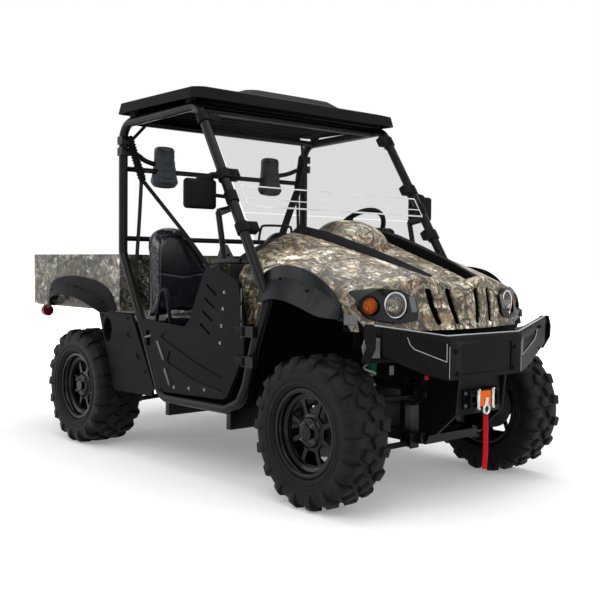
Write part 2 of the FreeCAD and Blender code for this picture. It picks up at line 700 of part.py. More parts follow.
def pillar_point(z):
    """A point on the front pillar's centre line at height z."""
    a, b = V(*PILLAR_FOOT), V(*PILLAR_TOP)
    return tuple(a + (b - a) * ((z - a.z) / (b.z - a.z)))


def sill_clearance():
    """The room that neighbours leave around a sill loop."""
    if "sill" not in MADE:
        MADE["sill"] = tube(sill_route(), TUBE_R + FIT, SILL_BEND)
    return MADE["sill"]


def cage_clearance():
    """The room that neighbours leave around a cage hoop."""
    if "cage" not in MADE:
        MADE["cage"] = tube(cage_route(), TUBE_R + FIT)
    return MADE["cage"]


def cage():
    """Front pillars, roof rails and rear posts with their cross bars."""
    hoop = tube(cage_route(), TUBE_R)
    front = rod((175, -640, 1806), (175, 640, 1806), 18)
    rear = rod((POST_X + 90, -650, CAGE_TOP_Z + 3), (POST_X + 90, 650, CAGE_TOP_Z + 3), 18)
    rest_bar = rod((POST_X, -POST_Y, REST_BAR_Z), (POST_X, POST_Y, REST_BAR_Z), REST_BAR_R)
    low_bar = rod((POST_X, -POST_Y, POST_SPLIT_Z + 20), (POST_X, POST_Y, POST_SPLIT_Z + 20), 14)
    braces = [rod((POST_X, sign * (POST_Y - 5), 1660), (POST_X + 88, sign * 560, 1792), 9) for sign in (-1,
                                                                                                        1)]
    return fuse([hoop, mirrored(hoop), front, rear, rest_bar, low_bar] + braces)


def roof():
    """The moulded roof: a rim, a raised middle and ribs below."""
    def ring(x0, x1, y, z, corner):
        return path([(x0, -y, z), (x1, -y, z), (x1, y, z), (x0, y, z)], corner, True)

    def shell(inset):
        rear, front, side = ROOF_REAR_X + inset, ROOF_FRONT_X - inset, ROOF_Y - inset
        tray = Part.makeLoft([ring(rear, front, side, ROOF_RIM_Z, 45),
                              ring(rear + 10, front - 12, side - 10, ROOF_RIM_Z + ROOF_EDGE_H - inset, 45),
                              ring(rear + 50, front - 50, side - 60, ROOF_FLAT_Z - inset, 45)], True, True)
        crown = Part.makeLoft([ring(rear + 60, front - 62, ROOF_HUMP_Y - inset, ROOF_FLAT_Z - inset - 2, 45),
                               ring(rear + 130, front - 110, ROOF_HUMP_Y - 60 - inset,
                                    ROOF_TOP_Z - 14 - inset, 45),
                               ring(rear + 180, front - 160, ROOF_HUMP_Y - 120 - inset, ROOF_TOP_Z - inset,
                                    45)],
                              True, True)
        return tray.fuse(crown)
    skin = shell(0).cut(shell(ROOF_WALL))
    ribs = [box(x - 8, x + 8, -ROOF_Y + 80, -ROOF_HUMP_Y + 20, ROOF_FLAT_Z - ROOF_WALL - 18,
                ROOF_FLAT_Z - ROOF_WALL + 1)
            for x in ROOF_RIBS_X]
    pads = [box(x - 25, x + 25, POST_Y - 19, POST_Y + 9, PILLAR_TOP[2], ROOF_RIM_Z + ROOF_EDGE_H + 5)
            for x in (-330.0, 200.0)]
    seats = [p.cut(cage_clearance()) for p in pads]
    return fuse([skin] + ribs + [mirrored(r) for r in ribs] + seats + [mirrored(p) for p in seats])


def windshield(blockers):
    """The clear screen: an upper and a lower pane before the front pillars."""
    panes = []
    for low, high in SCREEN_PANES:
        a, b = V(*pillar_point(low)), V(*pillar_point(high))
        lean = V(b.x - a.x, 0, b.z - a.z)
        lean.normalize()
        out = V(lean.z, 0, -lean.x)
        start = V(a.x, 0, a.z) + out * (TUBE_R + 3)
        end = V(b.x, 0, b.z) + out * (TUBE_R + 3)
        outline = [(start.x, start.z), (end.x, end.z), ((end + out * 5).x, (end + out * 5).z),
                   ((start + out * 5).x, (start + out * 5).z)]
        panes.append(side_prism(outline, -SCREEN_Y, SCREEN_Y).cut(blockers))
    return panes


def screen_clamps(panes):
    """Six clamps that hold the screen to the front pillars."""
    clamps = []
    for z in CLAMP_Z:
        p = V(*pillar_point(z))
        q = V(*pillar_point(z + 10))
        along = q - p
        along.normalize()
        collar = Part.makeCylinder(TUBE_R + 8, 50, p - along * 25, along)
        bore = Part.makeCylinder(TUBE_R + FIT, 60, p - along * 30, along)
        clamps += pair(collar.cut([bore] + panes))
    return clamps


# Front body
def section(x, points, inset):
    """One closed cross section of the front body."""
    half = [V(x, max(y - inset, 0) if y else 0, z - inset) for y, z in points]
    top = Part.BSplineCurve()
    whole = [V(p.x, -p.y, p.z) for p in reversed(half[1:])] + half
    top.interpolate(whole)
    low = BODY_BOTTOM_Z - (40 if inset else 0)
    last = half[-1]
    corners = [last, V(x, last.y, low), V(x, -last.y, low), V(x, -last.y, last.z)]
    edges = [top.toShape()] + [Part.LineSegment(a, b).toShape() for a, b in zip(corners, corners[1:])]
    return Part.Wire(edges)


def nose_cutter(inset):
    """The volume behind the curved, leaning nose."""
    def plan(z):
        shift = (NOSE_PLAN_Z - z) * NOSE_LEAN - inset
        half = [V(x + shift, y, z) for y, x in NOSE_PLAN]
        curve = Part.BSplineCurve()
        curve.interpolate([V(p.x, -p.y, p.z) for p in reversed(half[1:])] + half)
        a, b = half[-1], V(400, half[-1].y, z)
        c, d = V(400, -half[-1].y, z), V(half[-1].x, -half[-1].y, z)
        sides = [Part.LineSegment(p, q).toShape() for p, q in ((a, b), (b, c), (c, d))]
        return Part.Wire([curve.toShape()] + sides)
    return Part.makeLoft([plan(600), plan(1400)], True, True)


def body_volume(inset):
    """The front body's closed volume, inset by a wall."""
    stations = [section(x + (1 if i == 0 and inset else 0) * -20, points, inset)
                for i, (x, points) in enumerate(BODY_STATIONS)]
    return Part.makeLoft(stations, True, False).common(nose_cutter(inset))


def arch_cut():
    """The wheel arch opening through the front body's side, up to the flare's crease."""
    creases = [(x, z) for _, (x, _, z), _ in FRONT_FLARE]
    outline = [(creases[0][0], 700)] + creases + [(creases[-1][0], 700)]
    return side_prism(outline, 400, 800, 12)


def strip_line(x):
    """The strip's middle at station x."""
    share = (x - STRIP_REAR[0]) / (STRIP_FRONT[0] - STRIP_REAR[0])
    return STRIP_REAR[1] + share * (STRIP_FRONT[1] - STRIP_REAR[1])


def hood_height(x, y):
    """The hood's height at a point, read between the body's stations."""
    def across(points):
        for (ya, za), (yb, zb) in zip(points, points[1:]):
            if y <= yb:
                return za + (zb - za) * (y - ya) / (yb - ya)
        return points[-1][1]
    for (xa, low), (xb, high) in zip(BODY_STATIONS, BODY_STATIONS[1:]):
        if x <= xb:
            share = (x - xa) / (xb - xa)
            return across(low) * (1 - share) + across(high) * share
    return across(BODY_STATIONS[-1][1])


def strip_prism():
    """The plan of one strip."""
    half = STRIP_W / 2
    (x0, y0), (x1, y1) = STRIP_REAR, STRIP_FRONT
    outline = [(x0 - 46, y0 - half), (x1, y1 - half), (x1, y1 + half * 0.5), (x0 - 46, y0 + half)]
    return plan_prism(outline, 700, 1400)


def panel_prism():
    """The plan of the hood panel between the two strips."""
    half = STRIP_W / 2
    (x0, y0), (x1, y1) = STRIP_REAR, STRIP_FRONT
    outline = [(x0 - 46, half - y0), (x1, half - y1), (x1, y1 - half), (x0 - 46, y0 - half)]
    return plan_prism(outline, 700, 1400)


def grille_slots():
    """Upright curved slots through the nose."""
    slots = []
    for y in SLOTS_Y:
        half = SLOT_W / 2
        outline = [(y - half - SLOT_SWEEP, SLOT_LOW_Z), (y + half - SLOT_SWEEP, SLOT_LOW_Z + 6),
                   (y + half, SLOT_MID_Z),
                   (y + half + SLOT_SWEEP * 0.4, SLOT_TOP_Z), (y - half + SLOT_SWEEP * 0.4, SLOT_TOP_Z - 8),
                   (y - half, SLOT_MID_Z)]
        slots += pair(front_prism(outline, 1300, 1500, 10))
    return slots


def lamp_axis(lamp):
    """Which way a lamp on the left looks: forwards and a little outwards."""
    turn = HEADLAMP_TURN if lamp == HEADLAMP else TURN_LAMP_TURN
    return V(math.cos(turn), math.sin(turn), 0)


def lamp_rod(lamp, start, end, radius):
    """A round bar along a lamp's axis."""
    centre, along = V(*lamp), lamp_axis(lamp)
    return rod(tuple(centre + along * start), tuple(centre + along * end), radius)


def lamp_bore(lamp, radius):
    """A round bore along a lamp's axis."""
    return lamp_rod(lamp, -LAMP_DEPTH - 30, 80, radius)


def front_body(outer):
    """The shell of cowl, fenders and nose with its arches, slots and lamp holes."""
    shell = outer.cut(body_volume(BODY_WALL))
    cuts = pair(arch_cut()) + [panel_prism()] + pair(strip_prism()) + grille_slots()
    for lamp, radius in ((HEADLAMP, HEADLAMP_R + 8), (TURN_LAMP, TURN_LAMP_R + 6)):
        cuts += pair(lamp_bore(lamp, radius))
    return shell.cut(cuts)


def hood_panel(outer):
    """The sunken panel between the strips with the hump before the screen."""
    shell = outer.cut(body_volume(BODY_WALL)).translated(V(0, 0, -PANEL_DROP))
    hump = Part.makeSphere(100, V(0, 0, 0))
    scale = FreeCAD.Matrix()
    scale.scale(HUMP_LENGTH / 100, HUMP_HALF_W / 100, HUMP_H / 100)
    hump = hump.transformGeometry(scale).translated(V(HUMP_X, 0, HUMP_Z))
    hump = hump.cut(outer.translated(V(0, 0, -PANEL_DROP - BODY_WALL / 2)))
    hump = hump.common(box(BODY_STATIONS[0][0], 1000, -400, 400, 1000, 1400))
    return fuse([shell, hump]).common(panel_prism())


def hood_strips(outer):
    """The two raised strips that run down the hood: a steep inner face, a crest and a wide outer face."""
    half = STRIP_W / 2
    (x0, y0), (x1, y1) = STRIP_REAR, STRIP_FRONT
    rings = []
    for share, rise in STRIP_STATIONS:
        x = x0 - 46 + (x1 - x0 + 46) * share
        y = strip_line(x)
        z = hood_height(x, y)
        width = half * (1 - 0.35 * share)
        low = z - PANEL_DROP - 14
        rings.append(path([(x, y - width, low), (x, y - width, z + STRIP_EDGE + rise * 0.7),
                           (x, y - width * STRIP_CREST, z + STRIP_EDGE + rise), (x, y + width,
                                                                                 hood_height(x,
                                                                                             y + width) + 3),
                           (x, y + width, low)], 0, True))
    ridge = Part.makeLoft(rings, True, True)
    return pair(ridge.common(strip_prism()))


def lamp_unit(lamp, radius):
    """A round lamp with a domed lens."""
    barrel = lamp_rod(lamp, -LAMP_DEPTH, 0, radius)
    dome_r = radius * 1.6
    back = V(*lamp) - lamp_axis(lamp) * math.sqrt(dome_r ** 2 - radius ** 2)
    dome = Part.makeSphere(dome_r, back).common(lamp_rod(lamp, -1, dome_r, radius))
    return fuse([barrel, dome])


def lamp_bezel(outer):
    """The black surround of a headlamp and its turn lamp."""
    hx, hy, hz = HEADLAMP
    tx, ty, tz = TURN_LAMP
    outline = [(hy - 96, hz - 62), (hy - 100, hz + 28), (hy - 30, hz + 64), (ty - 30, tz + 74),
               (ty + 50, tz + 62),
               (ty + 58, tz - 10), (ty + 20, tz - 52), (hy, hz - 76)]
    prism = front_prism(outline, 1150, 1500, 24)
    raised = outer.translated(V(BEZEL_PROUD, 0, 0)).cut(outer)
    ring = raised.common(prism)
    sleeves = [lamp_rod(lamp, -LAMP_DEPTH, -2, r + 6)
               for lamp, r in ((HEADLAMP, HEADLAMP_R), (TURN_LAMP, TURN_LAMP_R))]
    bores = [lamp_bore(HEADLAMP, HEADLAMP_R + FIT), lamp_bore(TURN_LAMP, TURN_LAMP_R + FIT)]
    return fuse([ring] + sleeves).cut(bores)


def flare(stations):
    """A fender flare: a flange on the body's side that turns out to a lip."""
    rings = []
    for station in stations:
        flange, crease, lip = (V(*p) for p in station)
        down, out = crease - flange, lip - crease
        across = down.cross(out)
        first, second = across.cross(down), across.cross(out)
        first.normalize()
        second.normalize()
        inwards = FLARE_WALL if first.y < 0 else -FLARE_WALL
        back = [lip + second * inwards, crease + (first + second) * (inwards / 2), flange + first * inwards]
        rings.append(path([flange, crease, lip] + back, 0, True))
    return Part.makeLoft(rings, True, False)


def front_flare(outer):
    """The front flare, fitted over the body's side."""
    return flare(FRONT_FLARE).cut([outer, sill_clearance(), cage_clearance()])


def inner_fender(outer):
    """The liner behind and above the front tyre, up inside the body's side."""
    creases = [(x, z + 3) for _, (x, _, z), _ in FRONT_FLARE[1:-2]]
    line = [(700, 388), (728, 470), (752, 620), (764, 760), (766, 945)] + creases
    back = [(x - 5, z + 4) for x, z in reversed(line)]
    sheet = side_prism(line + back, 300, 655)
    high = sheet.common(body_volume(BODY_WALL))
    low = sheet.common(box(600, 900, 300, 655, 300, BODY_BOTTOM_Z))
    return fuse([high, low]).cut([sill_clearance(), cage_clearance()])


# Cabin
def floor_pan():
    """The floor with its toe board and the wall before the feet."""
    toe = FLOOR_FRONT_X
    outline = [(FLOOR_REAR_X, FLOOR_Z - FLOOR_T), (toe, FLOOR_Z - FLOOR_T), (toe + 88, 520), (toe + 130, 700),
               (toe + 130, 757), (toe + 122, 757), (toe + 122, 702), (toe + 80, 524), (toe - 4, FLOOR_Z),
               (FLOOR_REAR_X, FLOOR_Z)]
    return side_prism(outline, -FLOOR_Y, FLOOR_Y)


def dash(outer):
    """The dashboard with the steering column's tube."""
    x = BODY_STATIONS[0][0] - FIT
    outline = [(x, 1192), (548, 1168), (498, 1112), (470, 1040), (492, 930), (540, 870), (x, 862)]
    block = side_prism(outline, -612, 612, 25)
    face = section(BODY_STATIONS[0][0], BODY_STATIONS[0][1], 4)
    block = block.common(Part.Face(face).extrude(V(-200, 0, 0)))
    start = STEER_CENTRE - STEER_AXIS * 45
    end = STEER_CENTRE - STEER_AXIS * 240
    column = rod(tuple(start), tuple(end), COLUMN_R)
    return fuse([block, column]).cut(rod(tuple(start + STEER_AXIS * 10), tuple(end - STEER_AXIS * 10),
                                         SHAFT_R + FIT))


def seat_box():
    """The hollow base below the seats."""
    outer = box(SEAT_BOX_REAR_X, SEAT_BOX_FRONT_X, -SEAT_BOX_Y, SEAT_BOX_Y, FLOOR_Z + FIT, SEAT_BOX_TOP)
    w = SEAT_BOX_WALL
    inner = box(SEAT_BOX_REAR_X - 1, SEAT_BOX_FRONT_X - w, -SEAT_BOX_Y + w, SEAT_BOX_Y - w, FLOOR_Z - 1,
                SEAT_BOX_TOP - w)
    return outer.cut(inner)


def seat_cushion():
    """One seat's cushion."""
    z = SEAT_BOX_TOP + FIT
    outline = [(CUSHION_REAR_X, z), (SEAT_BOX_FRONT_X + 20, z), (CUSHION_FRONT_X, z + 30),
               (CUSHION_FRONT_X, z + CUSHION_T - 8), (CUSHION_FRONT_X - 80, z + CUSHION_T),
               (CUSHION_REAR_X, z + CUSHION_T - 22)]
    return side_prism(outline, SEAT_IN_Y, SEAT_OUT_Y, 18)


def seat_back():
    """One seat's back, leaning rearwards."""
    z = SEAT_BOX_TOP + FIT
    outline = [(BACK_FOOT_X - BACK_T, z), (BACK_FOOT_X + 2 - FIT, z), (BACK_FOOT_X + 2, z + 80),
               (BACK_TOP_X + BACK_T - 25, BACK_TOP_Z - 40), (BACK_TOP_X + 30, BACK_TOP_Z), (BACK_TOP_X,
                                                                                            BACK_TOP_Z)]
    side = side_prism(outline, SEAT_IN_Y, SEAT_OUT_Y, 18)
    tall = BACK_TOP_Z + 5
    middle = (SEAT_IN_Y + SEAT_OUT_Y) / 2
    half = (SEAT_OUT_Y - SEAT_IN_Y) / 2
    front = [(middle - half, z - 5), (middle + half, z - 5), (middle + half, z + 330),
             (middle + half - 55, tall),
             (middle - half + 55, tall), (middle - half, z + 330)]
    return side.common(front_prism(front, BACK_TOP_X - 60, BACK_FOOT_X + 60, 40))


def headrest():
    """One headrest pad, which takes the bar behind the seats in its back."""
    y, z = HEADREST_Y, HEADREST_Z
    half = [(HEADREST_TOP_W / 2 - 18, z + HEADREST_H / 2), (HEADREST_TOP_W / 2, z + HEADREST_H / 2 - 20),
            (HEADREST_W / 2, z - HEADREST_H / 2 + 33), (HEADREST_W / 2 - 28, z - HEADREST_H / 2)]
    outline = [(y + across, up) for across, up in half] + [(y - across, up) for across, up in reversed(half)]
    pad = front_prism(outline, HEADREST_X, HEADREST_X + HEADREST_T, 14)
    return pad.cut(rod((POST_X, 0, REST_BAR_Z), (POST_X, POST_Y, REST_BAR_Z), REST_BAR_R + FIT))


def hip_hoop():
    """The bent tube beside a seat."""
    y = 615
    route = [(-167, y, SEAT_BOX_TOP), (-118, y, 885), (-70, y, 905), (-20, y, SEAT_BOX_TOP)]
    return tube(route, 10, 35).cut(box(-300, 300, 400, 700, 600, SEAT_BOX_TOP + FIT))


def side_panel():
    """The panel between door and rear wheel with its oval air intake and two pressed wedges."""
    outline = [(-611, PANEL_TOP), (-260, PANEL_TOP), (-10, 350), (-443, 340)]
    plate = side_prism(outline, 694, 708, 10)
    wedges = [side_prism(w, 700, 714, 3) for w in (((-560, 640), (-300, 664), (-285, 640)),
                                                   ((-520, 525), (-205, 562), (-185, 530)))]
    shelf = box(-611, -275, SEAT_BOX_Y + FIT, 700, PANEL_TOP - 6, PANEL_TOP)
    mouth = Part.makeCylinder(INTAKE_R, 60, V(0, 670, 0), V(0, 1, 0))
    oval = FreeCAD.Matrix()
    oval.scale(1, 1, INTAKE_STRETCH)
    mouth = mouth.transformGeometry(oval).translated(V(INTAKE_X, 0, INTAKE_Z))
    panel = fuse([plate, shelf] + wedges).cut(mouth)
    clear = rod((POST_X, POST_Y, POST_FOOT_Z), (SILL_REAR_X, SILL_Y, 372), TUBE_R + FIT)
    return panel.cut([clear, rod((SILL_REAR_X - 60, SILL_Y, SILL_Z + 2), (300, SILL_Y, SILL_Z), TUBE_R + 12)])


def door():
    """One door with its two hinge barrels."""
    outline = [(-185, 748), (243, 724), (290, 765), (405, 990), (440, 1020), (520, 1020), (676, 954),
               (728, 739),
               (722, 626), (600, 425), (560, 405), (72, 386), (30, 405)]
    plate = side_prism(outline, DOOR_IN_Y, DOOR_IN_Y + DOOR_T, 14)
    face = DOOR_IN_Y + DOOR_T
    latch = side_prism(DOOR_LATCH, face - 12, face + 1, 12)
    louvres = [side_prism([(x, z), (x + 78, z - 46), (x + 84, z - 36), (x + 6, z + 10)], face - 10, face + 1)
               for x, z in DOOR_LOUVRES]
    presses = [side_prism(shape, face - 5, face + 1, 10) for shape in DOOR_PRESSES]
    plate = plate.cut([latch] + louvres + presses)
    barrels = []
    for z in HINGE_Z:
        barrels.append(rod((DOOR_HINGE_X, DOOR_HINGE_Y, z - 20), (DOOR_HINGE_X, DOOR_HINGE_Y, z + 20),
                           HINGE_EYE_R))
        barrels.append(box(DOOR_HINGE_X - 60, DOOR_HINGE_X, DOOR_IN_Y + DOOR_T - 1, DOOR_HINGE_Y + 3,
                           z - 20, z + 20))
    solid = fuse([plate] + barrels)
    bore = rod((DOOR_HINGE_X, DOOR_HINGE_Y, 500), (DOOR_HINGE_X, DOOR_HINGE_Y, 840), HINGE_PIN_R + FIT)
    return solid.cut(bore).cut(sill_clearance())


def door_hinge_posts():
    """The pins and feet on the front tube that carry a door."""
    parts = []
    for z in HINGE_Z:
        pin = rod((DOOR_HINGE_X, DOOR_HINGE_Y, z - 24), (DOOR_HINGE_X, DOOR_HINGE_Y, z + 24), HINGE_PIN_R)
        feet = [box(DOOR_HINGE_X - 8, 800, DOOR_HINGE_Y - 5, DOOR_HINGE_Y + 5, z0,
                    z0 + 4) for z0 in (z - 24.5, z + 20.5)]
        plate = box(760, 815, SILL_Y + TUBE_R - 8, DOOR_HINGE_Y + 5, z - 24.5, z + 24.5)
        parts.append(fuse([pin, plate] + feet).cut(sill_clearance()))
    return parts


# Steering
def steering_wheel():
    """The rim, spokes, boss and shaft that turn together."""
    centre, axis = STEER_CENTRE, STEER_AXIS
    ring = Part.makeTorus(172, 14, centre, axis)
    boss = Part.makeCylinder(38, 30, centre - axis * 32, axis)
    across = V(0, 1, 0)
    down = axis.cross(across)
    spokes = []
    for way in (across, across * -1, down if down.z < 0 else down * -1):
        start = centre - axis * 20
        end = centre + way * 168
        spokes.append(Part.makeCylinder(9, (end - start).Length, start, end - start))
    shaft = Part.makeCylinder(SHAFT_R, 200, centre - axis * 225, axis)
    return fuse([ring, boss, shaft] + spokes)


def tie_rods():
    """The rack bar with a tie rod to each steering arm."""
    z = RACK_Z
    bar = rod((RACK_X, -150, z), (RACK_X, 150, z), RACK_R)
    rods = [rod((RACK_X, sign * 149, z), (RACK_X, sign * (KINGPIN_Y - 8), z), 8) for sign in (-1, 1)]
    eyes = [rod((RACK_X, sign * (KINGPIN_Y - 8), z - 12), (RACK_X, sign * (KINGPIN_Y - 8), z + 12), 13)
            for sign in (-1, 1)]
    return fuse([bar] + rods + eyes)


# Bed
def bed():
    """The cargo bed: floor, walls, cross beams and hinge beams."""
    w = BED_WALL
    outer = box(BED_REAR_X, BED_FRONT_X, -BED_Y, BED_Y, BED_FLOOR_Z, BED_TOP_Z)
    inner = box(BED_REAR_X - 1, BED_FRONT_X - w, -BED_Y + w, BED_Y - w, BED_FLOOR_Z + w, BED_TOP_Z + 1)
    parts = [outer.cut(inner)]
    for sign in (-1, 1):
        y = sign * BED_BEAM_Y
        parts.append(box(BED_PIVOT_X + 10, BED_FRONT_X - 20, y - BED_BEAM_W / 2, y + BED_BEAM_W / 2,
                         UPPER_RAIL_Z + UPPER_RAIL_H + FIT, BED_FLOOR_Z + 1))
        lug = rod((BED_PIVOT_X, y - BED_BEAM_W / 2, BED_PIVOT_Z),
                  (BED_PIVOT_X, y + BED_BEAM_W / 2, BED_PIVOT_Z), 22)
        block = box(BED_PIVOT_X - 22, BED_PIVOT_X + 22, y - BED_BEAM_W / 2, y + BED_BEAM_W / 2,
                    BED_PIVOT_Z, BED_FLOOR_Z + 1)
        parts += [lug, block]
    solid = fuse(parts)
    bores = [rod((BED_PIVOT_X, -400, BED_PIVOT_Z), (BED_PIVOT_X, 400, BED_PIVOT_Z), PIN_R + FIT)]
    knuckles = [rod((TAILGATE_PIVOT_X, sign * 470, TAILGATE_PIVOT_Z),
                    (TAILGATE_PIVOT_X, sign * 510, TAILGATE_PIVOT_Z), 7)
                for sign in (-1, 1)]
    knuckles += [rod((TAILGATE_PIVOT_X, sign * 424, TAILGATE_PIVOT_Z),
                     (TAILGATE_PIVOT_X, sign * 556, TAILGATE_PIVOT_Z),
                     GATE_PIN_R) for sign in (-1, 1)]
    webs = [box(TAILGATE_PIVOT_X, BED_REAR_X + 30, sign * 490 - 20, sign * 490 + 20, TAILGATE_PIVOT_Z - 5,
                TAILGATE_PIVOT_Z + 6.5) for sign in (-1, 1)]
    return fuse([solid.cut(bores)] + knuckles + webs)


def tailgate():
    """The tailgate with its hinge eyes."""
    x1 = BED_REAR_X - 3
    plate = box(x1 - TAILGATE_T - 4, x1, -BED_Y, BED_Y, BED_FLOOR_Z + 6, BED_TOP_Z)
    plate = plate.common(box(TAIL_X, x1, -BED_Y, BED_Y, 0, 2000))
    eyes = []
    for y0, y1 in ((420, 468), (512, 560)):
        for a, b in ((y0, y1), (-y1, -y0)):
            eyes.append(rod((TAILGATE_PIVOT_X, a, TAILGATE_PIVOT_Z),
                            (TAILGATE_PIVOT_X, b, TAILGATE_PIVOT_Z), 8))
            eyes.append(box(TAILGATE_PIVOT_X - 8, TAILGATE_PIVOT_X, a, b, TAILGATE_PIVOT_Z, BED_FLOOR_Z + 8))
    bores = [rod((TAILGATE_PIVOT_X, sign * 400, TAILGATE_PIVOT_Z),
                 (TAILGATE_PIVOT_X, sign * 600, TAILGATE_PIVOT_Z),
                 GATE_PIN_R + FIT) for sign in (-1, 1)]
    return fuse([plate] + eyes).cut(bores)


def rear_flare():
    """The flare on a bed side."""
    return flare(REAR_FLARE).cut(box(BED_REAR_X, BED_FRONT_X, 0, BED_Y + 1, BED_FLOOR_Z - 40, BED_TOP_Z))


def tail_lamp():
    """The lamp below the bed's rear corner."""
    return rod((BED_REAR_X + 4, 600, 728), (BED_REAR_X + 40, 600, 728), 34).fuse(
        box(BED_REAR_X + 10, BED_REAR_X + 40, 580, 620, 728, BED_FLOOR_Z - FIT))


# Nose equipment
def bumper():
    """The plate bumper: a flat middle, swept wings with end loops, a top rail and brackets."""
    front = [(0, BUMPER_LOW_Z), (BUMPER_CENTRE_Y, BUMPER_LOW_Z), (375, 590), (560, 672),
             (568, BUMPER_TIP_Z - 12),
             (BUMPER_CENTRE_Y, BUMPER_TOP_Z - 12), (0, BUMPER_TOP_Z - 12)]
    outline = front + [(-y, z) for y, z in reversed(front[1:-1])]
    face = bumper_band(BUMPER_T).common(front_prism(outline, 1300, 1600))
    skin = bumper_band(BUMPER_SKIN)
    pockets = [front_prism(BUMPER_RECESS, 1300, 1600, 8).common(skin)]
    pockets += pair(front_prism(WING_RECESS, 1300, 1600, 8).common(skin))
    r = BUMPER_RAIL_R
    half_rail = [(BUMPER_TIP_X - r, BUMPER_TIP_Y - 8, BUMPER_TIP_Z - r),
                 (BUMPER_X - r, BUMPER_CENTRE_Y, BUMPER_TOP_Z - r)]
    rail = tube(half_rail + [(x, -y, z) for x, y, z in reversed(half_rail)], r, 40)
    loop = [(BUMPER_TIP_X - 48, BUMPER_TIP_Z), (BUMPER_TIP_X, BUMPER_TIP_Z + 2), (BUMPER_TIP_X + 12, 752),
            (BUMPER_TIP_X + 10, 700), (1405, 640), (1372, 640), (1372, 662), (1396, 705), (1380, 752)]
    ends = [side_prism(loop, BUMPER_TIP_Y - 4, BUMPER_TIP_Y + 4, 8),
            rod((1386, BUMPER_TIP_Y, 652), (1462, 480, 652), 9)]
    clear = FRONT_AXLE_X + UPPER_SPREAD + LUG_REACH + 8
    t = BUMPER_T
    profile = [(clear - 40, RAIL_TOP + FIT), (clear - 40, 420), (clear, 460), (clear, BUMPER_LOW_Z + 90),
               (BUMPER_X - t + 2, BUMPER_LOW_Z + 90), (WINCH_FACE_X - 4, 395), (clear + 60, RAIL_TOP + FIT)]
    arms = [side_prism(profile, sign * 160 - 8, sign * 160 + 8) for sign in (-1, 1)]
    tray = box(RAIL_FRONT_X - 30, WINCH_FACE_X - 4, -158, 158, 395, 401)
    flange = box(WINCH_FACE_X - 12, BUMPER_X - 2, -BUMPER_CENTRE_Y, BUMPER_CENTRE_Y, BUMPER_LOW_Z,
                 BUMPER_LOW_Z + t)
    plate = box(WINCH_FACE_X - 12, WINCH_FACE_X - 4, -158, 158, 398, BUMPER_LOW_Z + 40)
    window = box(WINCH_FACE_X - 20, WINCH_FACE_X + 10, -70, 70, WINCH_Z - 25, WINCH_Z + 25)
    sides = pair(ends[0]) + pair(ends[1])
    return fuse([face.cut(pockets), rail, tray, flange, plate.cut(window)] + arms + sides)


def bumper_band(depth):
    """The bumper's plan, folded at the middle's corners, as a standing band."""
    line = [(BUMPER_TIP_X, BUMPER_TIP_Y), (BUMPER_X, BUMPER_CENTRE_Y)]
    front = line + [(x, -y) for x, y in reversed(line)]
    back = [(x - depth, y) for x, y in reversed(front)]
    return plan_prism(front + back, BUMPER_LOW_Z - 20, BUMPER_TIP_Z + 20)


def winch():
    """The winch: drum, motor and gear end on the tray."""
    drum = rod((WINCH_X, -90, WINCH_Z), (WINCH_X, 90, WINCH_Z), DRUM_R)
    motor = rod((WINCH_X, -148, WINCH_Z), (WINCH_X, -80, WINCH_Z), 42)
    gear = rod((WINCH_X, 80, WINCH_Z), (WINCH_X, 148, WINCH_Z), 42)
    feet = [box(WINCH_X - 30, WINCH_X + 30, y, y + 30, 401 + FIT, WINCH_Z) for y in (-135.0, 105.0)]
    return fuse([drum, motor, gear] + feet)


def fairlead():
    """The roller fairlead on the winch plate."""
    x = WINCH_FACE_X - 4 + FIT
    plates = [box(x, x + 5, sign * 104 - 16, sign * 104 + 16, WINCH_Z - 42, WINCH_Z + 42) for sign in (-1, 1)]
    bars = [box(x, x + 26, -104, 104, WINCH_Z + s * 36 - 4, WINCH_Z + s * 36 + 4) for s in (-1, 1)]
    rollers = [rod((x + 15, -88, WINCH_Z + s * 20), (x + 15, 88, WINCH_Z + s * 20), 9) for s in (-1, 1)]
    ends = [box(x, x + 26, sign * 92 - 4, sign * 92 + 4, WINCH_Z - 36, WINCH_Z + 36) for sign in (-1, 1)]
    return fuse(plates + bars + rollers + ends)


def hook():
    """The cable's end with its hook, hanging before the fairlead."""
    stub = rod((WINCH_X + DRUM_R + FIT, 0, WINCH_Z), (HOOK_X, 0, WINCH_Z), 5)
    eye = rod((HOOK_X, 0, WINCH_Z + 6), (HOOK_X, 0, WINCH_Z - 30), 9)
    bend = Part.makeTorus(HOOK_RING_R, HOOK_WIRE_R, V(HOOK_X, 0, HOOK_Z), V(1, 0, 0))
    return fuse([stub, eye, bend])


def hook_strap():
    """The webbing strap hanging from the hook."""
    top = HOOK_Z - HOOK_RING_R - HOOK_WIRE_R - FIT
    return [box(HOOK_X - STRAP_W / 2, HOOK_X + STRAP_W / 2, -STRAP_T / 2, STRAP_T / 2, STRAP_END_Z, top)]


def skid_plate():
    """The plate below the front of the frame."""
    low = RAIL_TOP - RAIL_H - FIT
    tip = RAIL_FRONT_X + FIT
    outline = [(900, low), (tip, low), (tip + 18, low + 40), (tip + 23, low + 37), (tip + 5, low - 5),
               (898, low - 5)]
    return side_prism(outline, -170, 170)


def mirror_unit():
    """One side mirror with its arm on the pillar."""
    x, y, z = 452, 767, 1361
    shell = box(x - 20, x + 20, y - 88, y + 88, z - 70, z + 70)
    shell = shell.makeFillet(18, shell.Edges)
    p = V(*pillar_point(1345))
    arm = rod((p.x, p.y + 15, p.z), (x, y - 60, z), 9)
    collar = rod(tuple(V(*pillar_point(1322))), tuple(V(*pillar_point(1368))), TUBE_R + 7)
    bore = rod(tuple(V(*pillar_point(1310))), tuple(V(*pillar_point(1380))), TUBE_R + FIT)
    return fuse([shell, collar, arm]).cut(bore)


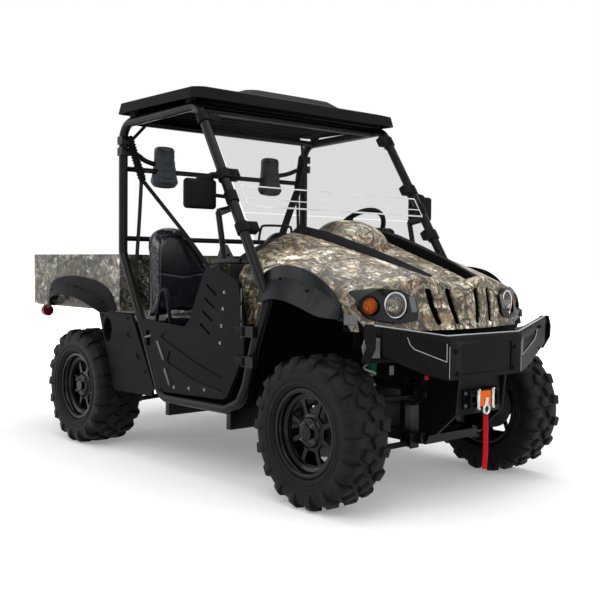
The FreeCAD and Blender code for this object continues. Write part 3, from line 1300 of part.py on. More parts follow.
# Writing every node
def main():
    outer = body_volume(0)
    for name, x, y, width, side in (("fr", FRONT_AXLE_X, -FRONT_TYRE_Y, FRONT_TYRE_W, -1),
                                    ("fl", FRONT_AXLE_X, FRONT_TYRE_Y, FRONT_TYRE_W, 1),
                                    ("rr", REAR_AXLE_X, -REAR_TYRE_Y, REAR_TYRE_W, -1),
                                    ("rl", REAR_AXLE_X, REAR_TYRE_Y, REAR_TYRE_W, 1)):
        save("tyre_" + name, [tyre(x, y, width)])
        save("rim_" + name, [rim(x, y, width, side)])
    left_knuckle = knuckle()
    save("knuckle_fl", [left_knuckle])
    save("knuckle_fr", [mirrored(left_knuckle)])
    save("rear_carriers", pair(rear_carrier().cut(rear_arms())))
    save("front_arms", [s for arm in front_arms() for s in pair(arm)])
    save("rear_arms", [s for arm in rear_arms() for s in pair(arm)])
    foot = arm_bridge_z() + 10 + SHOCK_EYE_R + FIT
    front_shock = shock((FRONT_AXLE_X + SHOCK_DX, SHOCK_FOOT_Y, foot),
                        (FRONT_AXLE_X + SHOCK_DX, 345, SHOCK_TOP_Z))
    rear_shock = shock((REAR_AXLE_X + SHOCK_DX, SHOCK_FOOT_Y, foot),
                       (REAR_AXLE_X + SHOCK_DX, 355, REAR_SHOCK_TOP_Z))
    save("shocks", pair(front_shock) + pair(rear_shock))
    save("half_shafts", pair(half_shaft(FRONT_AXLE_X, RAIL_Y - RAIL_W / 2, 470))
         + pair(half_shaft(REAR_AXLE_X, RAIL_Y - RAIL_W / 2, 505)))
    save("frame", [frame()])
    save("towers", [front_tower(), rear_tower()])
    save("engine", [engine()])
    save("gear_cases", gear_cases())
    save("muffler", muffler())
    save("sill_loops", pair(sill_loop()) + pair(hip_hoop()))
    save("cage", [cage()])
    save("roof", [roof()])
    panes = windshield([outer.translated(V(0, 0, 3)),
                        hood_panel(outer)] + [s.translated(V(0, 0, 3)) for s in hood_strips(outer)])
    save("windshield", panes)
    save("screen_clamps", screen_clamps(panes))
    save("front_body", [front_body(outer)])
    save("hood_panel", [hood_panel(outer)])
    save("hood_strips", hood_strips(outer))
    save("front_flares", pair(front_flare(outer)))
    save("inner_fenders", pair(inner_fender(outer)))
    save("lamp_bezels", pair(lamp_bezel(outer)))
    save("headlamps", pair(lamp_unit(HEADLAMP, HEADLAMP_R)))
    save("turn_lamps", pair(lamp_unit(TURN_LAMP, TURN_LAMP_R)))
    save("floor_pan", [floor_pan()])
    save("dash", [dash(outer)])
    save("seat_box", [seat_box()])
    save("seat_cushions", pair(seat_cushion()))
    save("seat_backs", pair(seat_back()))
    save("headrests", pair(headrest()))
    save("side_panels", pair(side_panel()))
    left_door = door()
    save("door_l", [left_door])
    save("door_r", [mirrored(left_door)])
    save("door_hinges", [s for p in door_hinge_posts() for s in pair(p)])
    save("steering_wheel", [steering_wheel()])
    save("tie_rods", [tie_rods()])
    save("bed", [bed()])
    save("rear_flares", pair(rear_flare()))
    save("tail_lamps", pair(tail_lamp()))
    save("tailgate", [tailgate()])
    save("bumper", [bumper()])
    save("winch", [winch()])
    save("fairlead", [fairlead()])
    save("hook", [hook()])
    save("hook_strap", hook_strap())
    save("skid_plate", [skid_plate()])
    save("mirrors", pair(mirror_unit()))


main()
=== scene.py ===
import json
import math

import bmesh
import bpy
from mathutils import Matrix, Vector

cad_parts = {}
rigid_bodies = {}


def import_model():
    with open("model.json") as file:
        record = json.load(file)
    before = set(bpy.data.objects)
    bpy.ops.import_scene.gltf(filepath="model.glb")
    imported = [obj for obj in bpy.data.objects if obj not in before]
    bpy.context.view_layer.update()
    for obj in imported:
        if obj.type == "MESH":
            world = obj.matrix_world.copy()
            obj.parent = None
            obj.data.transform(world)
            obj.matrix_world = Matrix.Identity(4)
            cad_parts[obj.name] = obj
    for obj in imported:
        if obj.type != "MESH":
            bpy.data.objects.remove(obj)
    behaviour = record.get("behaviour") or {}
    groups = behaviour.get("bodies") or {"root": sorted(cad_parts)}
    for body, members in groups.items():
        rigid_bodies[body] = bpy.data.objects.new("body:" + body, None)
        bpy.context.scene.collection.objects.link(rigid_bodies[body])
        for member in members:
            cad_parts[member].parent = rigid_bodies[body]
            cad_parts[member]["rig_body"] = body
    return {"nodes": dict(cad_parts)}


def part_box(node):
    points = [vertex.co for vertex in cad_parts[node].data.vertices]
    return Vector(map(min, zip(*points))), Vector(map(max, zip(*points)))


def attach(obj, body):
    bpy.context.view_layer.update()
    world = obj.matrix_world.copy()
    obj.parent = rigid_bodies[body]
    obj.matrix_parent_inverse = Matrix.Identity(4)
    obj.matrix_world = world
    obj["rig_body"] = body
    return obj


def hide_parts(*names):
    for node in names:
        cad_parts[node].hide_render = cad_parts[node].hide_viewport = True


bl_info = {
    "name": "Side by side vehicle",
    "version": (1, 0, 0),
    "blender": (4, 5, 0),
    "location": "3D View > Sidebar > Vehicle",
    "description": "Dresses the packed side by side vehicle with shaped pieces and finishes",
    "category": "Object",
}

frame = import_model()
FINISHES = {}
X, Y, Z = Vector((1, 0, 0)), Vector((0, 1, 0)), Vector((0, 0, 1))

# Places and sizes in millimetres
FRONT_AXLE_X = 1120
REAR_AXLE_X = -810
AXLE_Z = 327
TYRE_R = 327
FRONT_TYRE_Y = 604
REAR_TYRE_Y = 626
FRONT_TYRE_W = 235
REAR_TYRE_W = 285
BEAD_SHARE = 0.38
WHEELS = (("fl", FRONT_AXLE_X, FRONT_TYRE_Y, FRONT_TYRE_W, 1),
    ("fr", FRONT_AXLE_X, -FRONT_TYRE_Y, FRONT_TYRE_W, -1), ("rl", REAR_AXLE_X, REAR_TYRE_Y, REAR_TYRE_W, 1),
    ("rr", REAR_AXLE_X, -REAR_TYRE_Y, REAR_TYRE_W, -1))
PILLAR_FOOT = Vector((838, 668, 880))
PILLAR_TOP = Vector((262, 646, 1812))
TUBE_R = 24
RAIL_Y = -668
DOOR_FACE = 712
WINCH_X = 1425
WINCH_Z = 461
# Bevels as width, segments and least angle
SMALL_BEVEL = (2, 2, 40)
ROUND_BEVEL = (4, 3, 40)


# Finishes: short hands for node trees
def node(tree, kind, inputs=None, **settings):
    """Adds one node, sets its settings and fills or links its inputs."""
    made = tree.nodes.new(kind)
    for name, value in settings.items():
        setattr(made, name, value)
    for key, value in (inputs or {}).items():
        plug(tree, made.inputs[key], value)
    return made


def plug(tree, socket, value):
    """Links a socket to an output, or writes a constant on it."""
    if isinstance(value, bpy.types.NodeSocket):
        tree.links.new(value, socket)
    else:
        socket.default_value = value


def mixed(tree, factor, a, b, blend="MIX"):
    """A colour between a and b."""
    made = node(tree, "ShaderNodeMix", data_type="RGBA", blend_type=blend)
    for index, value in ((0, factor), (6, a), (7, b)):
        plug(tree, made.inputs[index], value)
    return made.outputs[2]


def ramp(tree, value, stops):
    """A colour ramp with (position, grey or colour) stops."""
    made = node(tree, "ShaderNodeValToRGB", {0: value})
    while len(made.color_ramp.elements) < len(stops):
        made.color_ramp.elements.new(0.5)
    for element, (position, colour) in zip(made.color_ramp.elements, stops):
        element.position = position
        element.color = (colour,) * 3 + (1,) if isinstance(colour, float) else (*colour, 1)
    return made.outputs[0]


def shaded(tree, colour, value, stops, share=1.0):
    """A colour multiplied by a ramp."""
    return mixed(tree, share, colour, ramp(tree, value, stops), "MULTIPLY")


def maths(tree, operation, a, b=0.0):
    """One sum on numbers."""
    return node(tree, "ShaderNodeMath", {0: a, 1: b}, operation=operation).outputs[0]


def coordinates(tree, turn=(0, 0, 0)):
    """Object coordinates, turned."""
    place = node(tree, "ShaderNodeTexCoord")
    return node(tree, "ShaderNodeMapping", {"Vector": place.outputs["Object"], "Rotation": turn}).outputs[0]


def noise(tree, place, scale, detail=3.0, rough=0.5, bend=0.0):
    """A cloudy noise value."""
    return node(tree, "ShaderNodeTexNoise", {"Vector": place, "Scale": scale, "Detail": detail,
        "Roughness": rough, "Distortion": bend}).outputs[0]


def cells(tree, place, scale, feature="F1"):
    """The outputs of a cell pattern: a distance and a colour."""
    return node(tree, "ShaderNodeTexVoronoi", {"Vector": place, "Scale": scale}, feature=feature).outputs


FLOAT, COLOUR = "NodeSocketFloat", "NodeSocketColor"
FULL = [("Colour", COLOUR), ("Roughness", FLOAT), ("Height", FLOAT)]
TWO = [("Colour", COLOUR), ("Height", FLOAT)]


def group(name, inputs, outputs):
    """An empty node group with named inputs and outputs."""
    tree = bpy.data.node_groups.new(name, "ShaderNodeTree")
    for label, kind, value in inputs:
        tree.interface.new_socket(name=label, in_out="INPUT", socket_type=kind).default_value = value
    for label, kind in outputs:
        tree.interface.new_socket(name=label, in_out="OUTPUT", socket_type=kind)
    return tree, tree.nodes.new("NodeGroupInput").outputs, tree.nodes.new("NodeGroupOutput").inputs


def glossy_group(name, colour, extra, low, high):
    """A group with a colour, one more input and two gloss values."""
    return group(name, [("Colour", COLOUR, (*colour, 1)), extra, ("Gloss low", FLOAT, low),
        ("Gloss high", FLOAT, high)], FULL)


def fill(tree, given, out, colour, cloud, height):
    """Writes a group's results, with a roughness that follows a cloud between the two gloss values."""
    spread = maths(tree, "SUBTRACT", given["Gloss high"], given["Gloss low"])
    rough = maths(tree, "ADD", maths(tree, "MULTIPLY", cloud, spread), given["Gloss low"])
    for name, value in (("Colour", colour), ("Roughness", rough), ("Height", height)):
        plug(tree, out[name], value)


def make_plastic_group():
    """Moulded plastic: fine grain, cloudy colour and uneven gloss."""
    tree, given, out = glossy_group("moulded_plastic", (0.03,) * 3, ("Grain", FLOAT, 900.0), 0.4, 0.6)
    place = coordinates(tree)
    cloud = noise(tree, place, 7.0, 4.0)
    pits = maths(tree, "MULTIPLY", cells(tree, place, given["Grain"])[0], 0.8)
    height = maths(tree, "ADD", noise(tree, place, given["Grain"], 2.0), pits)
    fill(tree, given, out, shaded(tree, given["Colour"], cloud, [(0.3, 0.8), (0.7, 1.15)]), cloud, height)


def make_vinyl_group():
    """Seat vinyl: small creased cells and broad cloudy sheen."""
    tree, given, out = glossy_group("vinyl", (0.03, 0.032, 0.036), ("Grain", FLOAT, 420.0), 0.28, 0.5)
    place = coordinates(tree)
    folds = noise(tree, place, 16.0, 5.0, 0.5, 0.4)
    creases = ramp(tree, cells(tree, place, given["Grain"], "DISTANCE_TO_EDGE")[0],
        [(0.0, 0.0), (0.12, 1.0)])
    height = maths(tree, "ADD", creases, maths(tree, "MULTIPLY", folds, 3.0))
    fill(tree, given, out, shaded(tree, given["Colour"], folds, [(0.3, 0.75), (0.7, 1.3)]), folds, height)


def make_metal_group():
    """Cast or plated metal: pitted height, stains and uneven gloss."""
    tree, given, out = glossy_group("worked_metal", (0.4, 0.4, 0.4), ("Grain", FLOAT, 260.0), 0.3, 0.6)
    place = coordinates(tree)
    stain = noise(tree, place, 22.0, 6.0, 0.65)
    colour = shaded(tree, given["Colour"], stain, [(0.3, 0.7), (0.7, 1.15)])
    fill(tree, given, out, colour, stain, noise(tree, place, given["Grain"], 3.0))


def make_tread_group():
    """Tyre rubber: dull mottled black with paler dust in cloudy patches."""
    dust = ("Dust", COLOUR, (0.022, 0.021, 0.020, 1))
    tree, given, out = glossy_group("tread_rubber", (0.02, 0.02, 0.02), dust, 0.42, 0.7)
    place = coordinates(tree)
    cloud = noise(tree, place, 34.0, 6.0, 0.6)
    colour = mixed(tree, ramp(tree, cloud, [(0.5, 0.0), (0.8, 0.45)]), given["Colour"], given["Dust"])
    fill(tree, given, out, colour, cloud, noise(tree, place, 700.0, 2.0))


def make_weave_group():
    """Woven webbing: two sets of crossing threads, with painted shade between the threads and painted
    highlight on their tops.
    """
    tree, given, out = group("webbing", [("Colour", COLOUR, (0.02, 0.02, 0.02, 1)),
        ("Threads", FLOAT, 700.0)], TWO)
    place = coordinates(tree, turn=(0.3, 0.2, 0.1))
    waves = [node(tree, "ShaderNodeTexWave", {"Vector": place, "Scale": given["Threads"]},
        bands_direction=way).outputs[1] for way in "XZ"]
    height = maths(tree, "MAXIMUM", *waves)
    # Painted shade and highlight: the colour is darker where the threads are low and lighter where they are
    # high
    plug(tree, out["Colour"], shaded(tree, given["Colour"], height, [(0.0, 0.55), (1.0, 1.25)]))
    plug(tree, out["Height"], height)


# The camouflage: ground tones, then turn, stretch, colour and cover of its leaves and twigs
GROUND = [(0.32, (0.020, 0.015, 0.010)), (0.41, (0.070, 0.052, 0.032)), (0.48, (0.150, 0.118, 0.078)),
    (0.55, (0.25, 0.215, 0.160)), (0.62, (0.36, 0.325, 0.270)), (0.70, (0.52, 0.50, 0.45))]
BARK = (((0.2, 0.25, 0.3), (9, 60, 55), 0.85), ((0.1, 0.9, 0.2), (16, 60, 50), 0.5))
BROAD = [(0.36, (0.42, 0.34, 0.27)), (0.5, (1.0, 0.97, 0.93)), (0.62, (1.8, 1.8, 1.8))]
LEAVES = (((0.4, 0.9, 0.2), (15, 40, 22), (0.150, 0.150, 0.050), 0.24),
    ((1.2, 0.2, 0.8), (40, 14, 20), (0.44, 0.36, 0.24), 0.28),
    ((0.1, 0.5, 1.7), (28, 66, 44), (0.56, 0.54, 0.48), 0.20),
    ((0.8, 1.4, 0.4), (40, 18, 20), (0.26, 0.115, 0.050), 0.16),
    ((1.9, 0.3, 1.1), (34, 74, 34), (0.20, 0.215, 0.100), 0.18),
    ((0.7, 2.0, 0.3), (70, 30, 46), (0.022, 0.017, 0.012), 0.24))
TWIGS = (((0.3, 0.2, 0.9), (3, 4, 7), (0.014, 0.010, 0.007), 0.085),
    ((1.0, 0.7, 0.1), (4, 8, 5), (0.034, 0.023, 0.015), 0.070),
    ((0.5, 1.3, 2.1), (9, 4, 5), (0.24, 0.20, 0.15), 0.035),
    ((2.1, 0.4, 0.6), (8, 8, 16), (0.020, 0.016, 0.011), 0.050))


def make_camouflage_group():
    """A woodland pattern of bark, leaves, grass and twigs in the object's own layout."""
    tree, given, out = group("woodland", [("Scale", FLOAT, 1.0), ("Tint", COLOUR, (1, 1, 1, 1))], TWO)
    base = node(tree, "ShaderNodeTexCoord").outputs["Object"]
    scaled = node(tree, "ShaderNodeVectorMath", {0: base, "Scale": given["Scale"]},
        operation="SCALE").outputs[0]
    bent = node(tree, "ShaderNodeTexNoise", {"Vector": scaled, "Scale": 9.0, "Detail": 3.0}).outputs[1]
    wavy = node(tree, "ShaderNodeMix", {0: 0.10, 4: scaled, 5: bent}, data_type="VECTOR").outputs[1]

    def moved(angle, stretch):
        return node(tree, "ShaderNodeMapping", {"Vector": wavy, "Rotation": angle,
            "Scale": stretch}).outputs[0]

    colour = ramp(tree, noise(tree, wavy, 7.5, 6.0, 0.68, 0.8), GROUND)
    for turn, stretch, share in BARK:
        bark = noise(tree, moved(turn, stretch), 1.0, 4.0, 0.55, 0.6)
        colour = shaded(tree, colour, bark, [(0.36, 0.14), (0.5, 1.0), (0.62, 2.4)], share)
    colour = shaded(tree, colour, noise(tree, scaled, 3.0, 3.0, 0.6), BROAD)
    for turn, stretch, tint, cover in LEAVES:
        found = cells(tree, moved(turn, stretch), 1.0)
        chance = node(tree, "ShaderNodeSeparateColor", {0: found[1]}).outputs[0]
        there = maths(tree, "LESS_THAN", chance, cover)
        shape = ramp(tree, found[0], [(0.34, 0.85), (0.46, 0.0)])
        leaf = shaded(tree, (*tint, 1), found[0], [(0.0, 0.6), (0.12, 1.15), (0.32, 0.9), (0.42, 0.5)])
        colour = mixed(tree, maths(tree, "MULTIPLY", there, shape), colour, leaf)
    for turn, stretch, tint, width in TWIGS:
        place = moved(turn, stretch)
        broken = ramp(tree, noise(tree, place, 0.7, 2.0), [(0.46, 0.0), (0.54, 0.8)])
        line = ramp(tree, cells(tree, place, 1.6, "DISTANCE_TO_EDGE")[0],
            [(width * 0.5, 1.0), (width, 0.0)])
        colour = mixed(tree, maths(tree, "MULTIPLY", line, broken), colour, (*tint, 1))
    speck = noise(tree, scaled, 240.0, 2.0)
    colour = shaded(tree, colour, speck, [(0.35, 0.6), (0.65, 1.4)], 0.5)
    plug(tree, out["Colour"], mixed(tree, 1.0, colour, given["Tint"], "MULTIPLY"))
    plug(tree, out["Height"], speck)


def material(name, effect, values, bump, distance, **shader):
    """A finish: one effect group feeding a Principled shader, whose constants sit on its own sockets."""
    made = bpy.data.materials.new(name)
    FINISHES[name] = made
    made.use_nodes = True
    tree = made.node_tree
    surface = tree.nodes["Principled BSDF"]
    for key, value in shader.items():
        surface.inputs[key.replace("_", " ")].default_value = value
    held = node(tree, "ShaderNodeGroup", values, node_tree=bpy.data.node_groups[effect])
    for source, target in (("Colour", "Base Color"), ("Roughness", "Roughness")):
        if source in held.outputs:
            tree.links.new(held.outputs[source], surface.inputs[target])
    if bump:
        raised = node(tree, "ShaderNodeBump", {"Strength": bump, "Distance": distance,
            "Height": held.outputs["Height"]})
        tree.links.new(raised.outputs[0], surface.inputs["Normal"])


def glossy(name, effect, colour, grain, low, high, bump, distance=0.0006, **shader):
    """A finish with a colour, a grain and two gloss values."""
    values = {"Colour": (*colour, 1), "Grain": grain, "Gloss low": low, "Gloss high": high}
    material(name, effect, values, bump, distance, **shader)


def plastic(name, colour, low, high, grain=700.0, bump=0.25, specular=0.045):
    """A moulded plastic or paint finish."""
    glossy(name, "moulded_plastic", colour, grain, low, high, bump, Specular_IOR_Level=specular)


def metal(name, colour, low, high, bump=0.2, metallic=1.0):
    """A cast, plated or polished metal finish."""
    glossy(name, "worked_metal", colour, 260.0, low, high, bump, Metallic=metallic)


def lens(name, colour, rough, alpha, **shader):
    """A clear or coloured lens finish."""
    glossy(name, "moulded_plastic", colour, 60.0, rough, rough + 0.05, 0.05, 0.0004, Alpha=alpha, **shader)


def make_finishes(colours):
    """Every finish of the vehicle."""
    for maker in (make_plastic_group, make_camouflage_group, make_weave_group, make_vinyl_group,
            make_metal_group, make_tread_group):
        maker()
    for name, tint in (("camouflage", (1, 1, 1, 1)), ("bed_camouflage", (0.58, 0.66, 0.76, 1))):
        material(name, "woodland", {"Scale": colours.pattern, "Tint": tint}, 0.04, 0.0004, Roughness=0.36,
            Specular_IOR_Level=0.25, Coat_Weight=0.06, Coat_Roughness=0.12)
    plastic("black_plastic", colours.plastic, 0.42, 0.62)
    plastic("roof_plastic", (0.008, 0.008, 0.009), 0.50, 0.68, 420.0, 0.5)
    plastic("door_plastic", (0.005, 0.005, 0.006), 0.38, 0.56, 520.0, 0.35)
    plastic("flare_plastic", (0.0045, 0.005, 0.006), 0.22, 0.36, specular=0.14)
    plastic("strip_plastic", (0.005, 0.005, 0.006), 0.45, 0.6, 500.0, 0.2, 0.03)
    plastic("gloss_black", (0.004, 0.004, 0.005), 0.08, 0.18, 300.0, 0.04, 0.10)
    plastic("dash_plastic", (0.009, 0.009, 0.010), 0.5, 0.7)
    plastic("inner_black", (0.002, 0.002, 0.0025), 0.6, 0.8, specular=0.03)
    plastic("tube_black", colours.tube, 0.24, 0.38, 300.0, 0.12, 0.13)
    plastic("bumper_black", (0.004, 0.004, 0.0045), 0.26, 0.38, 650.0, 0.35, 0.04)
    # Painted highlight: the pale grey of the beads along the bumper's edges
    plastic("bumper_highlight", (0.34, 0.345, 0.36), 0.25, 0.4, 500.0, 0.2, 0.5)
    plastic("wheel_black", (0.002, 0.002, 0.0025), 0.10, 0.2, 300.0, 0.04, 0.16)
    # A pale grey for the lamp cheeks, also the painted highlights of the door bars and the flare tips
    plastic("lamp_grey", (0.14, 0.145, 0.155), 0.35, 0.5)
    plastic("plate_grey", (0.20, 0.205, 0.215), 0.35, 0.5)
    metal("cast_grey", (0.10, 0.10, 0.105), 0.45, 0.7, metallic=0.7)
    metal("zinc", (0.62, 0.62, 0.63), 0.22, 0.42)
    metal("brushed_steel", (0.5, 0.49, 0.47), 0.25, 0.45)
    metal("reflector", (0.20, 0.165, 0.12), 0.05, 0.16, bump=0.0)
    metal("reflector_orange", (0.70, 0.20, 0.010), 0.06, 0.2, bump=0.0)
    metal("bolt_zinc", (0.26, 0.26, 0.27), 0.3, 0.5)
    metal("mirror_glass", (0.10, 0.085, 0.08), 0.04, 0.08, bump=0.0)
    plastic("coil_pale", (0.52, 0.55, 0.50), 0.25, 0.4, 300.0, 0.1)
    plastic("damper_green", (0.012, 0.10, 0.05), 0.2, 0.35, 300.0, 0.1)
    plastic("orange_part", (0.80, 0.13, 0.012), 0.3, 0.4, 300.0, 0.1)
    plastic("red_part", (0.60, 0.012, 0.02), 0.2, 0.3, 300.0, 0.1)
    material("tyre_black", "tread_rubber", {"Colour": (0.0045, 0.0045, 0.005, 1)}, 0.3, 0.0006,
        Specular_IOR_Level=0.12)
    glossy("seat_vinyl", "vinyl", colours.seat, 420.0, 0.14, 0.28, 0.12, Specular_IOR_Level=0.6)
    glossy("headrest_pad", "vinyl", (0.036, 0.045, 0.054), 260.0, 0.4, 0.55, 0.3, 0.0008,
        Specular_IOR_Level=0.3)
    for name, colour in (("belt_black", (0.012, 0.012, 0.014)), ("red_webbing", colours.strap)):
        material(name, "webbing", {"Colour": (*colour, 1)}, 0.5, 0.0006, Roughness=0.7,
            Specular_IOR_Level=0.1)
    lens("clear_screen", (0.012, 0.011, 0.011), 0.02, 0.16, Specular_IOR_Level=0.02)
    lens("screen_edge", (0.92, 0.93, 0.94), 0.08, 0.75)
    lens("clear_lamp", (0.30, 0.30, 0.30), 0.02, 0.14)
    glossy("orange_lamp", "moulded_plastic", (0.35, 0.07, 0.003), 130.0, 0.06, 0.1, 0.3, 0.002, Alpha=0.34,
        Specular_IOR_Level=0.2)
    lens("red_lamp", (0.15, 0.005, 0.005), 0.08, 1.0, Specular_IOR_Level=0.2)


# Shapes: short hands for meshes
def metres(value):
    """A size, a point or a list in millimetres, turned to metres."""
    if isinstance(value, (int, float)):
        return value / 1000
    return tuple(metres(item) for item in value)


def picked(items, kind):
    """The items of one kind in an operator's result."""
    return [item for item in items if isinstance(item, kind)]


def prism(mesh, points, along):
    """Adds a flat outline pushed through a distance."""
    face = mesh.faces.new([mesh.verts.new(point) for point in points])
    grown = bmesh.ops.extrude_face_region(mesh, geom=[face], use_keep_orig=True)["geom"]
    bmesh.ops.translate(mesh, verts=picked(grown, bmesh.types.BMVert), vec=along)


def side_prism(mesh, outline, y, width):
    """Adds an outline of (X, Z) points at one Y, pushed sideways."""
    prism(mesh, [(x, y, z) for x, z in outline], (0, width, 0))


def turned(mesh, profile, centre, axis, steps=48, side=None):
    """Spins a (radius, distance along the axis) profile round an axis."""
    axis = Vector(axis).normalized()
    side = side or axis.orthogonal().normalized()
    centre = Vector(centre)
    points = [mesh.verts.new(centre + axis * along + side * radius) for radius, along in profile]
    edges = [mesh.edges.new(ends) for ends in zip(points, points[1:])]
    bmesh.ops.spin(mesh, geom=points + edges, cent=centre, axis=axis, angle=math.tau, steps=steps,
        use_merge=True)


def rod(mesh, start, end, radius, far_radius=None, segments=24):
    """Adds a round bar or cone between two points."""
    start, end = Vector(start), Vector(end)
    along = end - start
    place = Matrix.Translation((start + end) / 2) @ along.to_track_quat("Z", "Y").to_matrix().to_4x4()
    far_radius = radius if far_radius is None else far_radius
    bmesh.ops.create_cone(mesh, cap_ends=True, segments=segments, radius1=radius, radius2=far_radius,
        depth=along.length, matrix=place)


def block(mesh, low, high):
    """Adds a box between two corners."""
    low, high = Vector(low), Vector(high)
    place = Matrix.Translation((low + high) / 2) @ Matrix.Diagonal((*(high - low), 1))
    bmesh.ops.create_cube(mesh, size=1, matrix=place)


def bolt(mesh, place, way, radius):
    """Adds a hexagon head on a washer, standing on a surface."""
    place, way = Vector(place), Vector(way).normalized()
    rod(mesh, place - way * 0.001, place + way * 0.0022, radius * 1.55, segments=18)
    rod(mesh, place + way * 0.002, place + way * 0.0022 + way * radius * 0.75, radius, radius * 0.93, 6)


def drawn_curve(points, radius, steps):
    """The mesh of a NURBS curve near a route, as a tube where it has a radius."""
    data = bpy.data.curves.new("route", "CURVE")
    data.dimensions = "3D"
    spline = data.splines.new("NURBS")
    spline.points.add(len(points) - 1)
    for item, point in zip(spline.points, points):
        item.co = (*point, 1)
    spline.order_u, spline.use_endpoint_u, spline.resolution_u = 3, True, steps
    data.bevel_depth, data.bevel_resolution, data.use_fill_caps = radius, 4, True
    carrier = bpy.data.objects.new("route", data)
    drawn = bpy.data.meshes.new_from_object(carrier)
    bpy.data.objects.remove(carrier)
    bpy.data.curves.remove(data)
    return drawn


def smooth_route(points, steps=12):
    """Points along a smooth curve near a route."""
    drawn = drawn_curve(points, 0.0, steps)
    line = [vertex.co.copy() for vertex in drawn.vertices]
    bpy.data.meshes.remove(drawn)
    return line


def bent_tube(mesh, points, radius):
    """Adds a tube along a smooth route."""
    drawn = drawn_curve(points, radius, 10)
    mesh.from_mesh(drawn)
    bpy.data.meshes.remove(drawn)


def ribbon(mesh, points, across, thickness):
    """Adds a flat strap that follows points, of one width."""
    across = Vector(across)
    line = [mesh.verts.new(Vector(point) - across / 2) for point in points]
    edges = [mesh.edges.new(ends) for ends in zip(line, line[1:])]
    grown = bmesh.ops.extrude_edge_only(mesh, edges=edges)["geom"]
    bmesh.ops.translate(mesh, verts=picked(grown, bmesh.types.BMVert), vec=across)
    bmesh.ops.solidify(mesh, geom=picked(grown, bmesh.types.BMFace), thickness=thickness)


def belt(mesh, points, across, thickness):
    """Adds a flat strap along a smooth route."""
    ribbon(mesh, smooth_route(points), across, thickness)


def rounded(mesh, width, segments, angle):
    """Bevels every edge that is sharper than an angle."""
    sharp = [edge for edge in mesh.edges
        if len(edge.link_faces) == 2 and edge.calc_face_angle() > math.radians(angle)]
    bmesh.ops.bevel(mesh, geom=sharp, offset=metres(width), segments=segments, profile=0.5, affect="EDGES",
        material=-1, clamp_overlap=True)


def clean(mesh):
    """Joins doubled points and turns the faces outwards."""
    bmesh.ops.remove_doubles(mesh, verts=mesh.verts, dist=1e-5)
    bmesh.ops.recalc_face_normals(mesh, faces=mesh.faces)
    return mesh


def mirrored(mesh):
    """Adds the same shapes on the other side of the vehicle."""
    copy = bmesh.ops.duplicate(mesh, geom=mesh.verts[:] + mesh.edges[:] + mesh.faces[:])["geom"]
    bmesh.ops.scale(mesh, verts=picked(copy, bmesh.types.BMVert), vec=(1, -1, 1))
    bmesh.ops.reverse_faces(mesh, faces=picked(copy, bmesh.types.BMFace))
    return mesh


def shade(data, degrees):
    """Smooth shading with sharp edges above an angle."""
    for face in data.polygons:
        face.use_smooth = True
    data.set_sharp_from_angle(angle=math.radians(degrees))


def new_piece(name, mesh, body, finish, smooth=35, replaces=()):
    """Turns a bmesh into a finished object that rides on a body."""
    data = bpy.data.meshes.new(name)
    mesh.to_mesh(data)
    mesh.free()
    made = bpy.data.objects.new(name, data)
    bpy.context.scene.collection.objects.link(made)
    made.data.materials.append(FINISHES[finish])
    shade(made.data, smooth)
    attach(made, body)
    if replaces:
        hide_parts(*replaces)
    return made


def shaped(*shapes, mesh=None):
    """A mesh of shapes in millimetres: each a shape's function, its values and perhaps its settings."""
    mesh = mesh or bmesh.new()
    for shape, *values in shapes:
        settings = values.pop() if isinstance(values[-1], dict) else {}
        shape(mesh, *metres(values), **settings)
    return mesh


def build(name, finish, slot, *shapes, join=False, bevel=None, pair=False, body="chassis", smooth=35):
    """Makes a piece from shapes, with its points joined, its edges rounded and its mirror image added."""
    mesh = shaped(*shapes)
    if join:
        clean(mesh)
    if bevel:
        rounded(mesh, *bevel)
    if pair:
        mirrored(mesh)
    new_piece(name, mesh, body, finish, smooth)


def merged_copy(node_name):
    """A bmesh of a CAD node with its loose triangles joined and its flat faces whole."""
    mesh = bmesh.new()
    mesh.from_mesh(frame["nodes"][node_name].data)
    bmesh.ops.remove_doubles(mesh, verts=mesh.verts, dist=1e-5)
    bmesh.ops.dissolve_limit(mesh, angle_limit=math.radians(0.6), verts=mesh.verts, edges=mesh.edges)
    return mesh


def dress(node_name, finish, width):
    """A smooth copy of a CAD node that stands for it, with a live bevel on its sharp edges."""
    body = frame["nodes"][node_name]["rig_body"]
    piece = new_piece("shell_" + node_name, merged_copy(node_name), body, finish, 35, [node_name])
    if width:
        bevel = piece.modifiers.new("bevel", "BEVEL")
        bevel.width, bevel.segments, bevel.limit_method = metres(width), 2, "ANGLE"
        bevel.angle_limit = math.radians(32)
        bevel.harden_normals = True


def on_pillar(height):
    """The middle of the left pillar at a height."""
    return PILLAR_FOOT.lerp(PILLAR_TOP, (height - PILLAR_FOOT.z) / (PILLAR_TOP.z - PILLAR_FOOT.z))


# The operators
class VehicleSettings(bpy.types.PropertyGroup):
    """Sizes and colours that a user would change."""
    plastic: bpy.props.FloatVectorProperty(name="Plastic", description="Colour of the moulded panels",
        subtype="COLOR", size=3, default=(0.007, 0.007, 0.008), min=0, max=1)
    tube: bpy.props.FloatVectorProperty(name="Tube", description="Colour of the painted tubes",
        subtype="COLOR", size=3, default=(0.004, 0.004, 0.005), min=0, max=1)
    seat: bpy.props.FloatVectorProperty(name="Seat", description="Colour of the seat vinyl",
        subtype="COLOR", size=3, default=(0.011, 0.014, 0.018), min=0, max=1)
    strap: bpy.props.FloatVectorProperty(name="Strap", description="Colour of the hook's strap",
        subtype="COLOR", size=3, default=(0.62, 0.012, 0.03), min=0, max=1)
    pattern: bpy.props.FloatProperty(name="Pattern", description="How fine the camouflage pattern is",
        default=1.0, min=0.2, max=4)
    lugs: bpy.props.IntProperty(name="Lugs", description="Tread blocks in each row of a tyre", default=18,
        min=8, max=30)
    voxel: bpy.props.FloatProperty(name="Seat mesh",
        description="Size of a seat's mesh faces before it is smoothed", default=0.008, min=0.004, max=0.02,
        unit="LENGTH")


